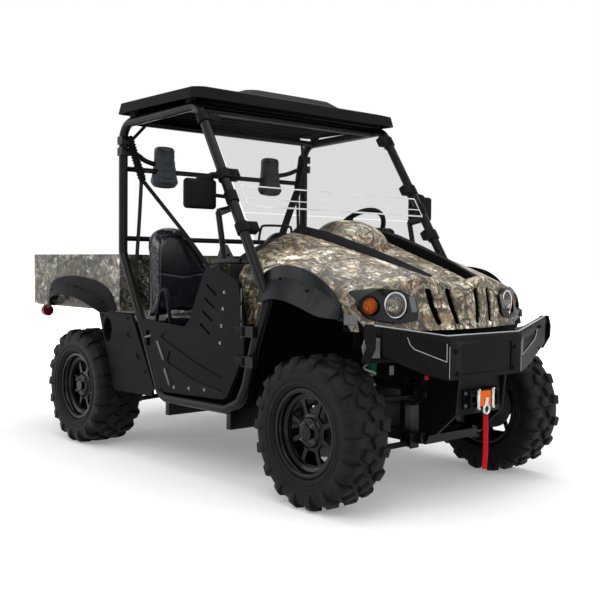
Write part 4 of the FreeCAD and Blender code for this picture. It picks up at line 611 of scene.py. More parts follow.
class VEHICLE_OT_finishes(bpy.types.Operator):
    """Makes every finish"""
    bl_idname = "vehicle.finishes"
    bl_label = "Finishes"

    def execute(self, context):
        make_finishes(context.scene.vehicle)
        return {"FINISHED"}


# Finish, slot, bevel width and CAD nodes of the shells
PLAIN = (
    ("tube_black", "tube_black", 2, "frame"),
    ("tube_black", "tube_black", 1, "towers"),
    ("tube_black", "tube_black", 0, "sill_loops cage"),
    ("cast_grey", "cast_grey", 4, "engine gear_cases"),
    ("brushed_steel", "exhaust", 0, "muffler"),
    ("roof_plastic", "black_plastic", 3, "roof"),
    ("clear_screen", "clear_screen", 0, "windshield"),
    ("black_plastic", "black_plastic", 1, "screen_clamps"),
    ("camouflage", "camouflage", 2, "front_body"),
    ("camouflage", "camouflage", 1, "hood_panel"),
    ("strip_plastic", "black_plastic", 2, "hood_strips"),
    ("flare_plastic", "black_plastic", 1, "front_flares"),
    ("inner_black", "black_plastic", 0, "inner_fenders"),
    ("gloss_black", "black_plastic", 1, "lamp_bezels"),
    ("inner_black", "black_plastic", 2, "floor_pan"),
    ("dash_plastic", "black_plastic", 3, "dash"),
    ("inner_black", "black_plastic", 4, "seat_box"),
    ("door_plastic", "black_plastic", 2, "side_panels door_l door_r"),
    ("tube_black", "tube_black", 1, "door_hinges"),
    ("black_plastic", "black_plastic", 0, "steering_wheel"),
    ("cast_grey", "cast_grey", 0, "tie_rods"),
    ("bed_camouflage", "camouflage", 2, "bed"),
    ("door_plastic", "black_plastic", 1, "rear_flares"),
    ("red_lamp", "red_lamp", 1, "tail_lamps"),
    ("bed_camouflage", "camouflage", 2, "tailgate"),
    ("bumper_black", "tube_black", 2, "bumper"),
    ("black_plastic", "black_plastic", 2, "winch"),
    ("bumper_black", "zinc", 1, "fairlead"),
    ("brushed_steel", "zinc", 0, "hook"),
    ("tube_black", "tube_black", 1, "skid_plate"),
    ("black_plastic", "black_plastic", 0, "mirrors"),
    ("tube_black", "tube_black", 0, "front_arms rear_arms"),
    ("cast_grey", "cast_grey", 0, "half_shafts"),
    ("cast_grey", "cast_grey", 2, "rear_carriers knuckle_fl knuckle_fr"),
    ("wheel_black", "wheel_black", 1.5, "rim_fl rim_fr rim_rl rim_rr"),
)


class VEHICLE_OT_shells(bpy.types.Operator):
    """Smooth copies of the plain CAD nodes"""
    bl_idname = "vehicle.shells"
    bl_label = "Shells"

    def execute(self, context):
        for finish, slot, width, names in PLAIN:
            for name in names.split():
                dress(name, finish, width)
        return {"FINISHED"}


# A tyre's profiles: radius, and distance from its middle as a share of its width
CARCASS = [(178, 0.38), (192, 0.38), (194, 0.412), (200, 0.44), (207, 0.455), (209, 0.474), (218, 0.476),
    (221, 0.464), (229, 0.470), (231, 0.482), (234, 0.482), (236, 0.474), (252, 0.482), (268, 0.483),
    (283, 0.477), (296, 0.450), (305, 0.415), (310, 0.36), (312, 0.25), (312, 0.0)]
MIDDLE_BLOCK = [(306, 0.005), (327, 0.02), (327, 0.19), (306, 0.215)]
SHOULDER_BLOCK = [(300, 0.215), (326, 0.235), (324, 0.40), (311, 0.475), (287, 0.496), (263, 0.494),
    (257, 0.47), (287, 0.44)]


class VEHICLE_OT_tyres(bpy.types.Operator):
    """Tyres: a ribbed carcass with rows of chunky blocks"""
    bl_idname = "vehicle.tyres"
    bl_label = "Tyres"

    def execute(self, context):
        for name, x, y, width, side in WHEELS:
            mesh = self.carcass(x, y, width)
            self.blocks(mesh, x, y, width, context.scene.vehicle.lugs)
            new_piece("tread_" + name, mesh, "wheel_" + name, "tyre_black", 30,
                ["tyre_" + name])
        return {"FINISHED"}

    def carcass(self, x, y, width):
        """The round body with a bead, a rim guard and two raised lines."""
        whole = CARCASS + [(radius, -share) for radius, share in reversed(CARCASS[:-1])] + CARCASS[:1]
        profile = [(radius, share * width) for radius, share in whole]
        return clean(shaped((turned, profile, (x, y, AXLE_Z), Y, {"steps": 96, "side": Z})))

    def blocks(self, mesh, x, y, width, lugs):
        """The middle and shoulder blocks, in slanted pairs round the carcass."""
        centre = Matrix.Translation(metres((x, y, AXLE_Z)))
        for side, shift in ((-1, 0.0), (1, 0.5)):
            rows = ((self.block(MIDDLE_BLOCK, side, 47, width, 26, 0.30), shift),
                (self.block(SHOULDER_BLOCK, side, 46, width, -10, 0.16), shift + 0.5))
            for index in range(lugs):
                for data, late in rows:
                    copy = data.copy()
                    copy.transform(centre @ Matrix.Rotation(math.tau * (index + late) / lugs, 4, "Y"))
                    mesh.from_mesh(copy)
                    bpy.data.meshes.remove(copy)
            for data, late in rows:
                bpy.data.meshes.remove(data)

    def block(self, profile, side, length, width, slant, taper):
        """One bevelled block at the top of the wheel."""
        outline = [(-length / 2, side * share * width, radius) for radius, share in profile]
        mesh = clean(shaped((prism, outline, (length, 0, 0))))
        top, low = metres((TYRE_R, min(profile)[0]))
        for point in mesh.verts:
            point.co.x *= 1 + taper * min(1.0, (top - point.co.z) / (top - low)) - 0.12
        middle = side * width * sum(share for radius, share in profile) / len(profile)
        bmesh.ops.rotate(mesh, verts=mesh.verts, cent=metres((0, middle, 0)),
            matrix=Matrix.Rotation(math.radians(side * slant), 3, "Z"))
        rounded(mesh, 2.2, 2, 25)
        data = bpy.data.meshes.new("block")
        mesh.to_mesh(data)
        mesh.free()
        return data


LIP = [(172, 0), (186, 0), (190, 2), (191.5, 4.5), (190, 6.5), (186, 7.5), (176, 6.8), (171.5, 4), (172, 0)]
DISH = [(173.5, -4), (168, -10), (165.5, -26), (158, -31), (150, -33.5), (150, -38.5), (173.5, -38.5),
    (173.5, -4)]
HUB = [(0, 12), (30, 12), (30, 15.5), (52, 15.5), (58, 13.5), (66, 4), (78, 0), (78, -2)]
CAP = [(0, 29), (12, 28.6), (20, 27), (25, 23.8), (27.5, 19), (28.5, 15), (28.5, 11)]
NUT_CIRCLE_R = 43.5
# The washer, nut and stud: start, end, both radii and segments
NUT_PARTS = ((0, 4, 12.5, 11.5, 20), (0, 13, 8.8, 8.4, 6), (12, 19, 6.2, 4, 16))


class VEHICLE_OT_wheels(bpy.types.Operator):
    """Wheel lips, hubs, nuts and caps on the rims"""
    bl_idname = "vehicle.wheels"
    bl_label = "Wheels"

    def execute(self, context):
        for name, x, y, width, side in WHEELS:
            self.wheel(name, x, y, BEAD_SHARE * width, side)
        return {"FINISHED"}

    def wheel(self, name, x, y, bead, side):
        """Rolled lips and a dished ring, a stepped hub plate, four nuts and a cap."""
        body = "wheel_" + name
        face = y + side * (bead - 38)

        def ring(profile, place, way, steps):
            return turned, profile, (x, place, AXLE_Z), Y * way, {"steps": steps, "side": Z}

        lips = [ring(LIP, y + way * bead, way, 72) for way in (-1, 1)]
        build("lip_" + name, "wheel_black", "wheel_black", *lips, ring(DISH, y + side * bead, side, 72),
            join=True, body=body, smooth=40)
        build("hub_" + name, "wheel_black", "wheel_black", ring(HUB, face, side, 64), join=True, body=body,
            smooth=30)
        nuts = []
        for index in range(4):
            turn = math.tau * (index + 0.5) / 4
            place = Vector((x + NUT_CIRCLE_R * math.cos(turn), face + side * 15.2,
                AXLE_Z + NUT_CIRCLE_R * math.sin(turn)))
            for start, end, radius, far_radius, segments in NUT_PARTS:
                nuts.append((rod, place + Y * side * start, place + Y * side * end, radius, far_radius,
                    {"segments": segments}))
        build("nuts_" + name, "cast_grey", "wheel_black", *nuts, bevel=(0.8, 2, 40), body=body, smooth=30)
        build("cap_" + name, "gloss_black", "wheel_black", ring(CAP, face, side, 48), join=True, body=body,
            smooth=30)


# Name, place, radius, outward turn, lens finish, bowl finish, ring finish and CAD node of each lamp
LAMPS = (
    ("headlamp_", (1346, 388, 868), 58, 14, "clear_lamp", "reflector", "zinc", "headlamps"),
    ("turn_lamp_", (1303, 498, 866), 40, 20, "orange_lamp", "reflector_orange", "gloss_black", "turn_lamps"),
)
# A lamp's profiles as shares of its radius
BOWL = [(0.10, -0.8), (0.38, -0.72), (0.62, -0.5), (0.80, -0.22), (0.86, -0.03), (0.97, -0.03), (0.97, -1),
    (0.10, -1), (0.10, -0.8)]
BULB = [(0.0, -0.25), (0.10, -0.28), (0.14, -0.4), (0.11, -0.6), (0.11, -0.85), (0.0, -0.85)]
COLLAR = [(0.30, -0.66), (0.34, -0.60), (0.44, -0.58), (0.40, -0.66), (0.30, -0.66)]
RING = [(0.86, -0.02), (0.86, 0.03), (0.92, 0.06), (0.985, 0.02), (0.985, -0.06), (0.86, -0.02)]
DOME = [(0.90 * share, 0.03 + 0.27 * (1 - share ** 2)) for share in (0.0, 0.25, 0.5, 0.75, 0.9, 1.0)]
BACK = [(0.90, 0.0), (0.5, 0.0), (0.0, 0.0)]


class VEHICLE_OT_lamps(bpy.types.Operator):
    """Head and turn lamps: faceted bowl, bulb, ring and lens"""
    bl_idname = "vehicle.lamps"
    bl_label = "Lamps"

    def execute(self, context):
        for side, tag in ((-1, "right"), (1, "left")):
            for name, *lamp in LAMPS:
                self.lamp(name + tag, side, *lamp)
        build("lamp_cheeks", "lamp_grey", "black_plastic",
            (prism, [(1385, 324, 836), (1392, 298, 840), (1375, 298, 902), (1368, 324, 906)], (-16, 0, 0)),
            bevel=ROUND_BEVEL, pair=True)
        return {"FINISHED"}

    def lamp(self, name, side, place, radius, turn, lens_finish, bowl_finish, ring_finish, node_name):
        """One lamp looking forwards and a little outwards."""
        x, y, z = place
        axis = (math.cos(math.radians(turn)), side * math.sin(math.radians(turn)), 0)

        def spun(profile, steps):
            sized = [(across * radius, along * radius) for across, along in profile]
            return turned, sized, (x, y * side, z), axis, {"steps": steps, "side": Z}

        build(name + "_bowl", bowl_finish, None, spun(BOWL, 14), join=True, smooth=4)
        build(name + "_bulb", bowl_finish, None, spun(BULB, 20), spun(COLLAR, 24), join=True, smooth=20)
        build(name + "_ring", ring_finish, None, spun(RING, 56), join=True)
        clear = lens_finish == "clear_lamp"
        mesh = clean(shaped(spun(DOME if clear else DOME + BACK, 48)))
        if clear:
            bmesh.ops.solidify(mesh, geom=mesh.faces, thickness=metres(2))
        replaced = [node_name] if side > 0 else []
        new_piece(name + "_lens", mesh, "chassis", lens_finish, 30, replaced)


class VEHICLE_OT_cab_sides(bpy.types.Operator):
    """Hand rails, pillar strips, pad arms, belts and belt covers"""
    bl_idname = "vehicle.cab_sides"
    bl_label = "Cab sides"

    def execute(self, context):
        self.rails()
        arm_blocks = [(prism, [(-458, -682, z), (-404, -682, z), (-404, -625, z), (-458, -625, z)],
            (0, 0, 44)) for z in (1618, 1678)]
        arm = [(-418, -635, 1640), (-412, -580, 1632), (-440, -520, 1600), (-444, -455, 1590)]
        build("pad_arms", "tube_black", "tube_black", *arm_blocks, (bent_tube, arm, 14),
            (bolt, (-404, -653, 1640), X, 7), (bolt, (-404, -653, 1700), X, 7), bevel=(2, 2, 50), pair=True)
        shoulder = [(-392, -560, 1490), (-345, -455, 1350), (-262, -300, 1130), (-205, -140, 880),
            (-196, -112, 815)]
        thin_end = [(-396, -566, 1488), (-398, -574, 1300), (-404, -590, 1050), (-404, -604, 800)]
        build("belts", "belt_black", "black_plastic", (belt, shoulder, (20, -40, -6), 2.2),
            (belt, thin_end, (30, 4, 0), 2.2), join=True, pair=True, smooth=40)
        buckle = [(-214, -92, 722), (-170, -92, 722), (-174, -104, 820), (-218, -104, 820)]
        build("buckles", "black_plastic", "black_plastic", (prism, buckle, (0, -20, 0)),
            bevel=ROUND_BEVEL, pair=True)
        self.covers()
        return {"FINISHED"}

    def rails(self):
        """The bar behind each pillar's foot with the rail up to the pillar."""
        spots = ((545, 1078), (464, 1280))
        bolts = [(bolt, (x, RAIL_Y + way, z), (0, way, 0), 6) for way in (-6, 6) for x, z in spots]
        build("hand_rails", "tube_black", "tube_black", (rod, (456, RAIL_Y, 1048), (722, RAIL_Y, 1048), 12),
            (rod, (515, RAIL_Y, 1048), (462, RAIL_Y, 1282), 14.5),
            (side_prism, [(448, 1054), (600, 1054), (580, 1072), (532, 1126), (490, 1128), (460, 1072)],
            -671, 6), (side_prism, [(440, 1042), (655, 1042), (655, 1060), (440, 1060)], -688, 40),
            (side_prism, [(452, 1262), (476, 1262), (590, 1284), (574, 1310), (452, 1296)], -672, 8),
            *bolts, bevel=(1.2, 2, 40), pair=True)
        build("pillar_strips", "brushed_steel", "zinc",
            (rod, (729, -641, 1041), (777, -641, 966), 4, {"segments": 12}), pair=True)

    def covers(self):
        """The ribbed covers that hang from the rear posts round the belts."""
        top, low = Vector((-424, -628, 1722)), Vector((-392, -560, 1486))
        length = (low - top).length
        ribs = 14
        step = (length - 22) / ribs
        profile = [(0, -4), (17, -4), (20, 4)]
        for index in range(ribs):
            for radius, share in ((18.5, 0.0), (23.5, 0.25), (23.5, 0.55), (18.5, 0.85)):
                profile.append((radius, 8 + step * (index + share)))
        profile += [(20, length - 10), (18, length), (0, length)]
        build("belt_covers", "black_plastic", "black_plastic",
            (turned, profile, top, low - top, {"steps": 24}), join=True, pair=True, smooth=25)


class VEHICLE_OT_screen(bpy.types.Operator):
    """Bright edges of the screen and the clamp blocks that hold it"""
    bl_idname = "vehicle.screen"
    bl_label = "Screen"

    def execute(self, context):
        up = Vector((PILLAR_TOP.x - PILLAR_FOOT.x, 0, PILLAR_TOP.z - PILLAR_FOOT.z)).normalized()
        out = Vector((up.z, 0, -up.x))
        foot = Vector((PILLAR_FOOT.x, 0, PILLAR_FOOT.z)) + out * (TUBE_R + 8.5)

        def at_height(height):
            return foot + up * ((height - PILLAR_FOOT.z) / up.z)

        lines = []
        for height, thick in ((1388, 6), (1326, 5), (1290, 8)):
            reach = Vector((2.5, 606, thick / 2))
            lines.append((block, at_height(height) - reach, at_height(height) + reach))
        for side in (-606, 606):
            lines.append((rod, at_height(1290) + Y * side, at_height(1388) + Y * side, 2.5,
                {"segments": 8}))
        build("screen_lines", "screen_edge", "clear_screen", *lines)
        blocks = []
        for height in (1740, 1453, 1200):
            rear, front = on_pillar(height) - out * 14, on_pillar(height) + out * (TUBE_R + 2)
            base = [rear - up * 24, front - up * 24, front + up * 24, rear + up * 24]
            blocks.append((prism, [point - Y * 20 for point in base], (0, -58, 0)))
            blocks += [(bolt, rear - Y * 58 + up * shift, -out, 6) for shift in (-12, 12)]
        build("clamp_blocks", "black_plastic", "black_plastic", *blocks, join=True, bevel=ROUND_BEVEL,
            pair=True)
        return {"FINISHED"}


def both_sides(half, middle=385):
    """A head pad's outline round its middle from one half of it."""
    right = [(middle + across, z) for across, z in half]
    return right + [(middle - across, z) for across, z in reversed(half)]


class VEHICLE_OT_seats(bpy.types.Operator):
    """Seats and head pads, swelled by a cloth simulation and then sewn"""
    bl_idname = "vehicle.seats"
    bl_label = "Seats"

    def execute(self, context):
        voxel = context.scene.vehicle.voxel
        floor = 0.7005
        self.both("seat_cushion", self.cushion(), voxel, 0.024, "seat_vinyl", "seat_cushions",
            self.cushion_seams, floor)
        self.both("seat_back", self.back(), voxel, 0.024, "seat_vinyl", "seat_backs", self.back_seams,
            floor)
        self.both("head_pad", self.pad(), voxel * 0.6, 0.007, "headrest_pad", "headrests", self.pad_seams,
            0.0)
        return {"FINISHED"}

    def both(self, name, mesh, voxel, cap, finish, node_name, seams, floor):
        """Makes the left piece and its mirror image."""
        data = self.swelled(mesh, voxel, cap, floor)
        left = bmesh.new()
        left.from_mesh(data)
        bpy.data.meshes.remove(data)
        bmesh.ops.subdivide_edges(left, edges=left.edges, cuts=1, use_grid_fill=True, smooth=0.6)
        for count in range(4):
            bmesh.ops.smooth_vert(left, verts=left.verts, factor=0.5, use_axis_x=True, use_axis_y=True,
                use_axis_z=True)
        seams(left)
        right = left.copy()
        bmesh.ops.scale(right, verts=right.verts, vec=(1, -1, 1))
        bmesh.ops.reverse_faces(right, faces=right.faces)
        for tag, half, replaced in (("_left", left, [node_name]), ("_right", right, [])):
            piece = new_piece(name + tag, half, "chassis", finish, 180, replaced)

    def swelled(self, mesh, voxel, cap, floor):
        """Remeshes a shape, blows it up as cloth within its cap, and keeps it above what it rests on."""
        data = bpy.data.meshes.new("soft")
        mesh.to_mesh(data)
        mesh.free()
        piece = bpy.data.objects.new("soft", data)
        bpy.context.scene.collection.objects.link(piece)
        remesh = piece.modifiers.new("remesh", "REMESH")
        remesh.mode, remesh.voxel_size = "VOXEL", voxel
        smooth = piece.modifiers.new("smooth", "SMOOTH")
        smooth.iterations = 6
        even = bpy.data.meshes.new_from_object(piece.evaluated_get(bpy.context.evaluated_depsgraph_get()))
        piece.modifiers.clear()
        piece.data = even
        self.blow(piece, cap)
        for point in even.vertices:
            point.co.z = max(point.co.z, floor)
        bpy.data.objects.remove(piece)
        bpy.data.meshes.remove(data)
        return even

    def blow(self, piece, cap):
        """Runs the cloth with pressure inside and writes the result to the mesh."""
        scene = bpy.context.scene
        cloth = piece.modifiers.new("cloth", "CLOTH")
        cloth.settings.use_pressure = True
        cloth.settings.uniform_pressure_force = 4.0
        cloth.settings.effector_weights.gravity = 0.0
        cloth.point_cache.frame_start, cloth.point_cache.frame_end = 1, 20
        for frame_number in range(1, 21):
            scene.frame_set(frame_number)
        blown = piece.evaluated_get(bpy.context.evaluated_depsgraph_get()).to_mesh()
        moved = [point.co.copy() for point in blown.vertices]
        piece.modifiers.clear()
        scene.frame_set(1)
        for point, target in zip(piece.data.vertices, moved):
            step = target - point.co
            if step.length > cap:
                step *= cap / step.length
            point.co += step

    def cushion(self):
        """The cushion's base with raised side rolls and a front roll."""
        rolls = [(bent_tube, [(-240, y, 748), (0, y, 757), (110, y, 756), (165, y, 745)], 24)
            for y in (150, 520)]
        base = [(-255, 722), (150, 722), (172, 742), (168, 762), (-255, 744)]
        front_roll = [(164, 140, 746), (172, 240, 748), (172, 430, 748), (164, 530, 746)]
        return clean(shaped((side_prism, base, 135, 400), *rolls, (bent_tube, front_roll, 21)))

    def back(self):
        """The back's panel with a bolster that runs up its sides and over its top."""
        front = [(150, 725), (530, 725), (545, 960), (530, 1120), (480, 1205), (340, 1215), (235, 1120),
            (150, 960)]
        route = [(150, 735), (145, 900), (170, 1020), (255, 1130), (330, 1215), (420, 1222), (505, 1205),
            (540, 1120), (548, 960), (540, 735)]
        return clean(shaped((prism, [(self.lean(z) + 18, y, z) for y, z in front], (34, 0, 0)),
            (bent_tube, [(self.lean(z) + 50, y, z) for y, z in route], 28)))

    def lean(self, z):
        """The back's rear face at a height."""
        return -372 - (z - 700) * 0.040

    def pad(self):
        """A head pad: wide below, narrow at the top, with cut corners."""
        outline = both_sides([(46, 1694), (60, 1680), (86, 1488), (62, 1462)])
        mesh = shaped((prism, [(-472, y, z) for y, z in outline], (46, 0, 0)))
        rounded(mesh, 10, 3, 30)
        return clean(mesh)

    def press(self, mesh, line, depth, width, way=X, axes=(1, 2)):
        """Pulls a sewn line into the side of a piece that faces a way."""
        ends = [Vector(point) for point in metres(line)]
        depth, width = metres((depth, width))
        for point in mesh.verts:
            facing = point.normal.dot(way)
            if facing < 0.15:
                continue
            flat = Vector((point.co[axes[0]], point.co[axes[1]]))
            near = min(self.distance(flat, a, b) for a, b in zip(ends, ends[1:]))
            if near < width:
                share = 0.5 + 0.5 * math.cos(math.pi * near / width)
                point.co -= way * depth * share * min(1.0, facing * 2)

    def distance(self, point, start, end):
        """How far a flat point is from a line between two others."""
        along = end - start
        share = max(0.0, min(1.0, (point - start).dot(along) / along.length_squared))
        return (point - start - along * share).length

    def cushion_seams(self, mesh):
        """The seams beside the rolls and across the seat."""
        mesh.normal_update()
        ring = [(-250, 185), (125, 185), (140, 200), (140, 470), (125, 485), (-250, 485)]
        self.press(mesh, ring, 9, 12, Z, (0, 1))
        self.press(mesh, [(-60, 190), (-60, 480)], 5, 10, Z, (0, 1))
        self.press(mesh, [(120, 727), (500, 727)], 4, 8)

    def back_seams(self, mesh):
        """The seam inside the bolster and the one across the back."""
        mesh.normal_update()
        ring = [(190, 745), (186, 900), (208, 1005), (285, 1105), (350, 1178), (420, 1186), (480, 1172),
            (503, 1105), (508, 960), (500, 745)]
        self.press(mesh, ring, 10, 12)
        self.press(mesh, [(195, 985), (350, 965), (505, 985)], 5, 10)

    def pad_seams(self, mesh):
        """A raised border and a plain pressed motif of three bars."""
        mesh.normal_update()
        ring = both_sides([(40, 1682), (50, 1672), (72, 1498), (52, 1476)])
        self.press(mesh, ring + ring[:1], 3, 6)
        for z, across in ((1600, 30), (1560, 34), (1520, 40)):
            self.press(mesh, [(385 - across, z), (385, z - 8), (385 + across, z)], 3, 6)


class VEHICLE_OT_mirrors(bpy.types.Operator):
    """Mirror glasses and their top brackets"""
    bl_idname = "vehicle.mirrors"
    bl_label = "Mirrors"

    def execute(self, context):
        corners = ((-66, -58), (66, -58), (74, -50), (74, 50), (66, 58), (-66, 58), (-74, 50), (-74, -50))
        build("mirror_glass", "mirror_glass", "zinc",
            (prism, [(431.5, 767 + across, 1361 + up) for across, up in corners], (-1.5, 0, 0)), join=True,
            pair=True)
        plate = [(440, 700, 1424), (440, 790, 1424), (440, 780, 1440), (440, 700, 1452)]
        arm = [(455, 740, 1430), (455, 715, 1452), (470, 690, 1456), (on_pillar(1440).x, 664, 1448)]
        build("mirror_brackets", "black_plastic", "black_plastic", (prism, plate, (30, 0, 0)),
            (bent_tube, arm, 12), bevel=(3, 2, 40), pair=True)
        return {"FINISHED"}


DOOR_BOLTS = ((575, 905), (565, 828), (555, 748), (545, 668), (160, 420), (290, 428), (420, 436))
# Each painted highlight bar on a door, where its creases and edges catch the light: its ends, height above
# the door's face, radius and segments
DOOR_HIGHLIGHT_BARS = ((0, 640, 62, 548, 1, 6, 14), (70, 505, 118, 425, 1, 6, 14), (-128, 650, -60, 664, -4, 6, 14),
    (705, 700, 703, 770, 1, 2.8, 10), (705, 785, 703, 850, 1, 2.8, 10), (705, 865, 703, 925, 1, 2.8, 10))


class VEHICLE_OT_doors(bpy.types.Operator):
    """Bolts, bars, handles and edge beads of the doors, and the side panels' intakes; the bars, handles and
    beads are pale rods that paint the highlights on the doors' creases and edges
    """
    bl_idname = "vehicle.doors"
    bl_label = "Doors"

    def execute(self, context):
        for side, tag in ((1, "left"), (-1, "right")):
            body = tag + "_door"
            bolts = [(bolt, (x, side * (DOOR_FACE - 0.5), z), Y * side, 5.2) for x, z in DOOR_BOLTS]
            build("door_bolts_" + tag, "bolt_zinc", "zinc", *bolts, body=body)
            # Painted highlights: pale rods along the doors' creases and edges
            bars = [(rod, (x0, side * (DOOR_FACE + up), z0), (x1, side * (DOOR_FACE + up), z1), radius,
                {"segments": segments}) for x0, z0, x1, z1, up, radius, segments in DOOR_HIGHLIGHT_BARS]
            build("door_highlight_bars_" + tag, "lamp_grey", "black_plastic", *bars, bevel=SMALL_BEVEL, body=body)
        self.intakes()
        spots = ((-575, 742), (-300, 742), (-460, 370), (-120, 470))
        bolts = [(bolt, (x, 707.8, z), Y, 6) for x, z in spots]
        build("panel_bolts", "black_plastic", "black_plastic", *bolts, pair=True)
        return {"FINISHED"}

    def intakes(self):
        """The oval ducts, their mesh and the dark plates behind them."""
        mesh = bmesh.new()
        centre = Vector((-0.512, 0.690, 0.668))
        sideways = Matrix.Rotation(math.radians(90), 4, "X")
        ring = bmesh.ops.create_cone(mesh, cap_ends=False, segments=40, radius1=0.046, radius2=0.034,
            depth=0.036, matrix=sideways)["verts"]
        bmesh.ops.scale(mesh, verts=ring, vec=(1, 1, 1.55))
        bmesh.ops.translate(mesh, verts=ring, vec=centre)
        bmesh.ops.solidify(mesh, geom=mesh.faces, thickness=0.002)
        grids = ((3, 0.060, 0.040, Z, X, 0.006), (5, 0.038, 0.064, X, Z, 0.008))
        for count, high, wide, along, across, deep in grids:
            for index in range(-count, count + 1):
                shift = index * 0.011
                reach = along * high * math.sqrt(max(0.0, 1 - (shift / wide) ** 2))
                middle = centre + across * shift - Y * deep
                rod(mesh, middle - reach, middle + reach, 0.0016, segments=8)
        bmesh.ops.create_cone(mesh, cap_ends=True, segments=40, radius1=0.050, radius2=0.050, depth=0.004,
            matrix=Matrix.Translation((-0.512, 0.668, 0.668)) @ sideways @ Matrix.Diagonal((1, 1.5, 1, 1)))
        new_piece("intake_mesh", mirrored(mesh), "chassis", "inner_black")


# Body, and each bolt's place and forward lean, on the front and rear flares
FLARE_BOLTS = (("front", "chassis", ((900, 650, 974, 0.0), (1080, 650, 926, 0.3))),
    ("rear", "bed", ((-1250, 680, 866, -0.3), (-940, 680, 894, 0.1), (-620, 680, 818, 0.35))))
NOSE_CORNER = [(1352, 450, 772), (1333, 500, 782), (1306, 560, 806), (1259, 582, 830), (1241, 588, 838)]
# Half lines, height, depth and rise of the wall behind the grille and of the trim under the nose
NOSE_WALLS = (([(1345, 120), (1322, 270), (1262, 335), (1262, 480)], 772, 6, (-20, 0, 180)),
    ([(1424, 50), (1404, 200), (1383, 300), (1358, 400), (1323, 500), (1290, 560)], 767, 10, (-12, 0, -75)))


class VEHICLE_OT_trim(bpy.types.Operator):
    """Flare bolts, grille liner, nose trim, kick panels, roof lining, tailgate furniture and dash pod"""
    bl_idname = "vehicle.trim"
    bl_label = "Trim"

    def execute(self, context):
        for tag, body, places in FLARE_BOLTS:
            bolts = [(bolt, (x, y, z), (lean, 0.72, 0.68), 6) for x, y, z, lean in places]
            build(tag + "_flare_bolts", "black_plastic", "black_plastic", *bolts, pair=True, body=body)
        # Painted highlights: pale grey patches at the front of the flares
        build("flare_tip_highlights", "lamp_grey", "black_plastic",
            (prism, [(1248, 593, 788), (1306, 572, 790), (1300, 574, 826), (1246, 594, 832)], (-2, -4, 0)),
            pair=True)
        self.liner()
        build("kick_panels", "inner_black", "black_plastic", (block, (640, 625, 400), (765, 630, 900)),
            bevel=SMALL_BEVEL, pair=True)
        ribs = [(block, (x - 12, -590, 1826), (x + 12, 590, 1840)) for x in range(-360, 257, 77)]
        build("roof_lining", "inner_black", "black_plastic", (block, (-415, -600, 1838), (285, 600, 1844)),
            (block, (-418, -600, 1790), (-408, 600, 1842)), *ribs, bevel=(4, 2, 40))
        self.tailgate()
        loop = [(560, -500, 1150), (570, -500, 1215), (575, -470, 1222), (575, -330, 1222),
            (570, -300, 1215), (560, -300, 1150)]
        build("grab_loop", "tube_black", "tube_black", (bent_tube, loop, 6))
        build("instrument_pod", "black_plastic", "black_plastic",
            (side_prism, [(500, 1185), (592, 1185), (588, 1222), (560, 1238), (516, 1232)], 285, 130),
            (block, (592, 40, 1250), (612, 82, 1274)), bevel=(8, 3, 30))
        return {"FINISHED"}

    def liner(self):
        """The dark ribbed wall behind the grille's openings, and the trim under the nose."""
        low, lean = 758, 0.26
        strips = []
        for (x0, y0, z0), (x1, y1, z1) in zip(NOSE_CORNER, NOSE_CORNER[1:]):
            outline = [(x0 + 1, y0, low), (x1 + 1, y1, low), (x1 - (z1 - low) * lean, y1, z1),
                (x0 - (z0 - low) * lean, y0, z0)]
            strips.append((prism, outline, (-4, -2, 0)))
        mesh = mirrored(clean(shaped(*strips)))
        for half, z, deep, rise in NOSE_WALLS:
            front = [(x, -y, z) for x, y in reversed(half)] + [(x, y, z) for x, y in half]
            shaped((prism, front + [(x - deep, y, z) for x, y, z in reversed(front)], rise), mesh=mesh)
        for index in range(7):
            x, z = 1340 - index * 3, 790 + index * 25
            shaped((rod, (x, -240, z), (x, 240, z), 4, {"segments": 8}), mesh=mesh)
        new_piece("grille_liner", clean(mesh), "chassis", "inner_black")

    def tailgate(self):
        """The tailgate's handle plate, latch levers and pressed panel lines."""
        latches = []
        for y in (-560, 560):
            latches += [(block, (-1550, y - 30, 985), (-1544, y + 30, 1045)),
                (bolt, (-1549.5, y, 1000), -X, 7)]
        spans = ((-480, 480, 760), (-480, -180, 900), (180, 480, 900))
        lines = [(rod, (-1544, y0, z), (-1544, y1, z), 6, {"segments": 12}) for y0, y1, z in spans]
        build("gate_furniture", "black_plastic", "black_plastic",
            (block, (-1549.5, -110, 955), (-1544, 110, 1025)), *latches, *lines, bevel=SMALL_BEVEL,
            body="gate")
        grip = [(-1551, -70, 990), (-1556, -60, 990), (-1557, 0, 990), (-1556, 60, 990), (-1551, 70, 990)]
        build("gate_handle", "bolt_zinc", "zinc", (bent_tube, grip, 4.5), body="gate")


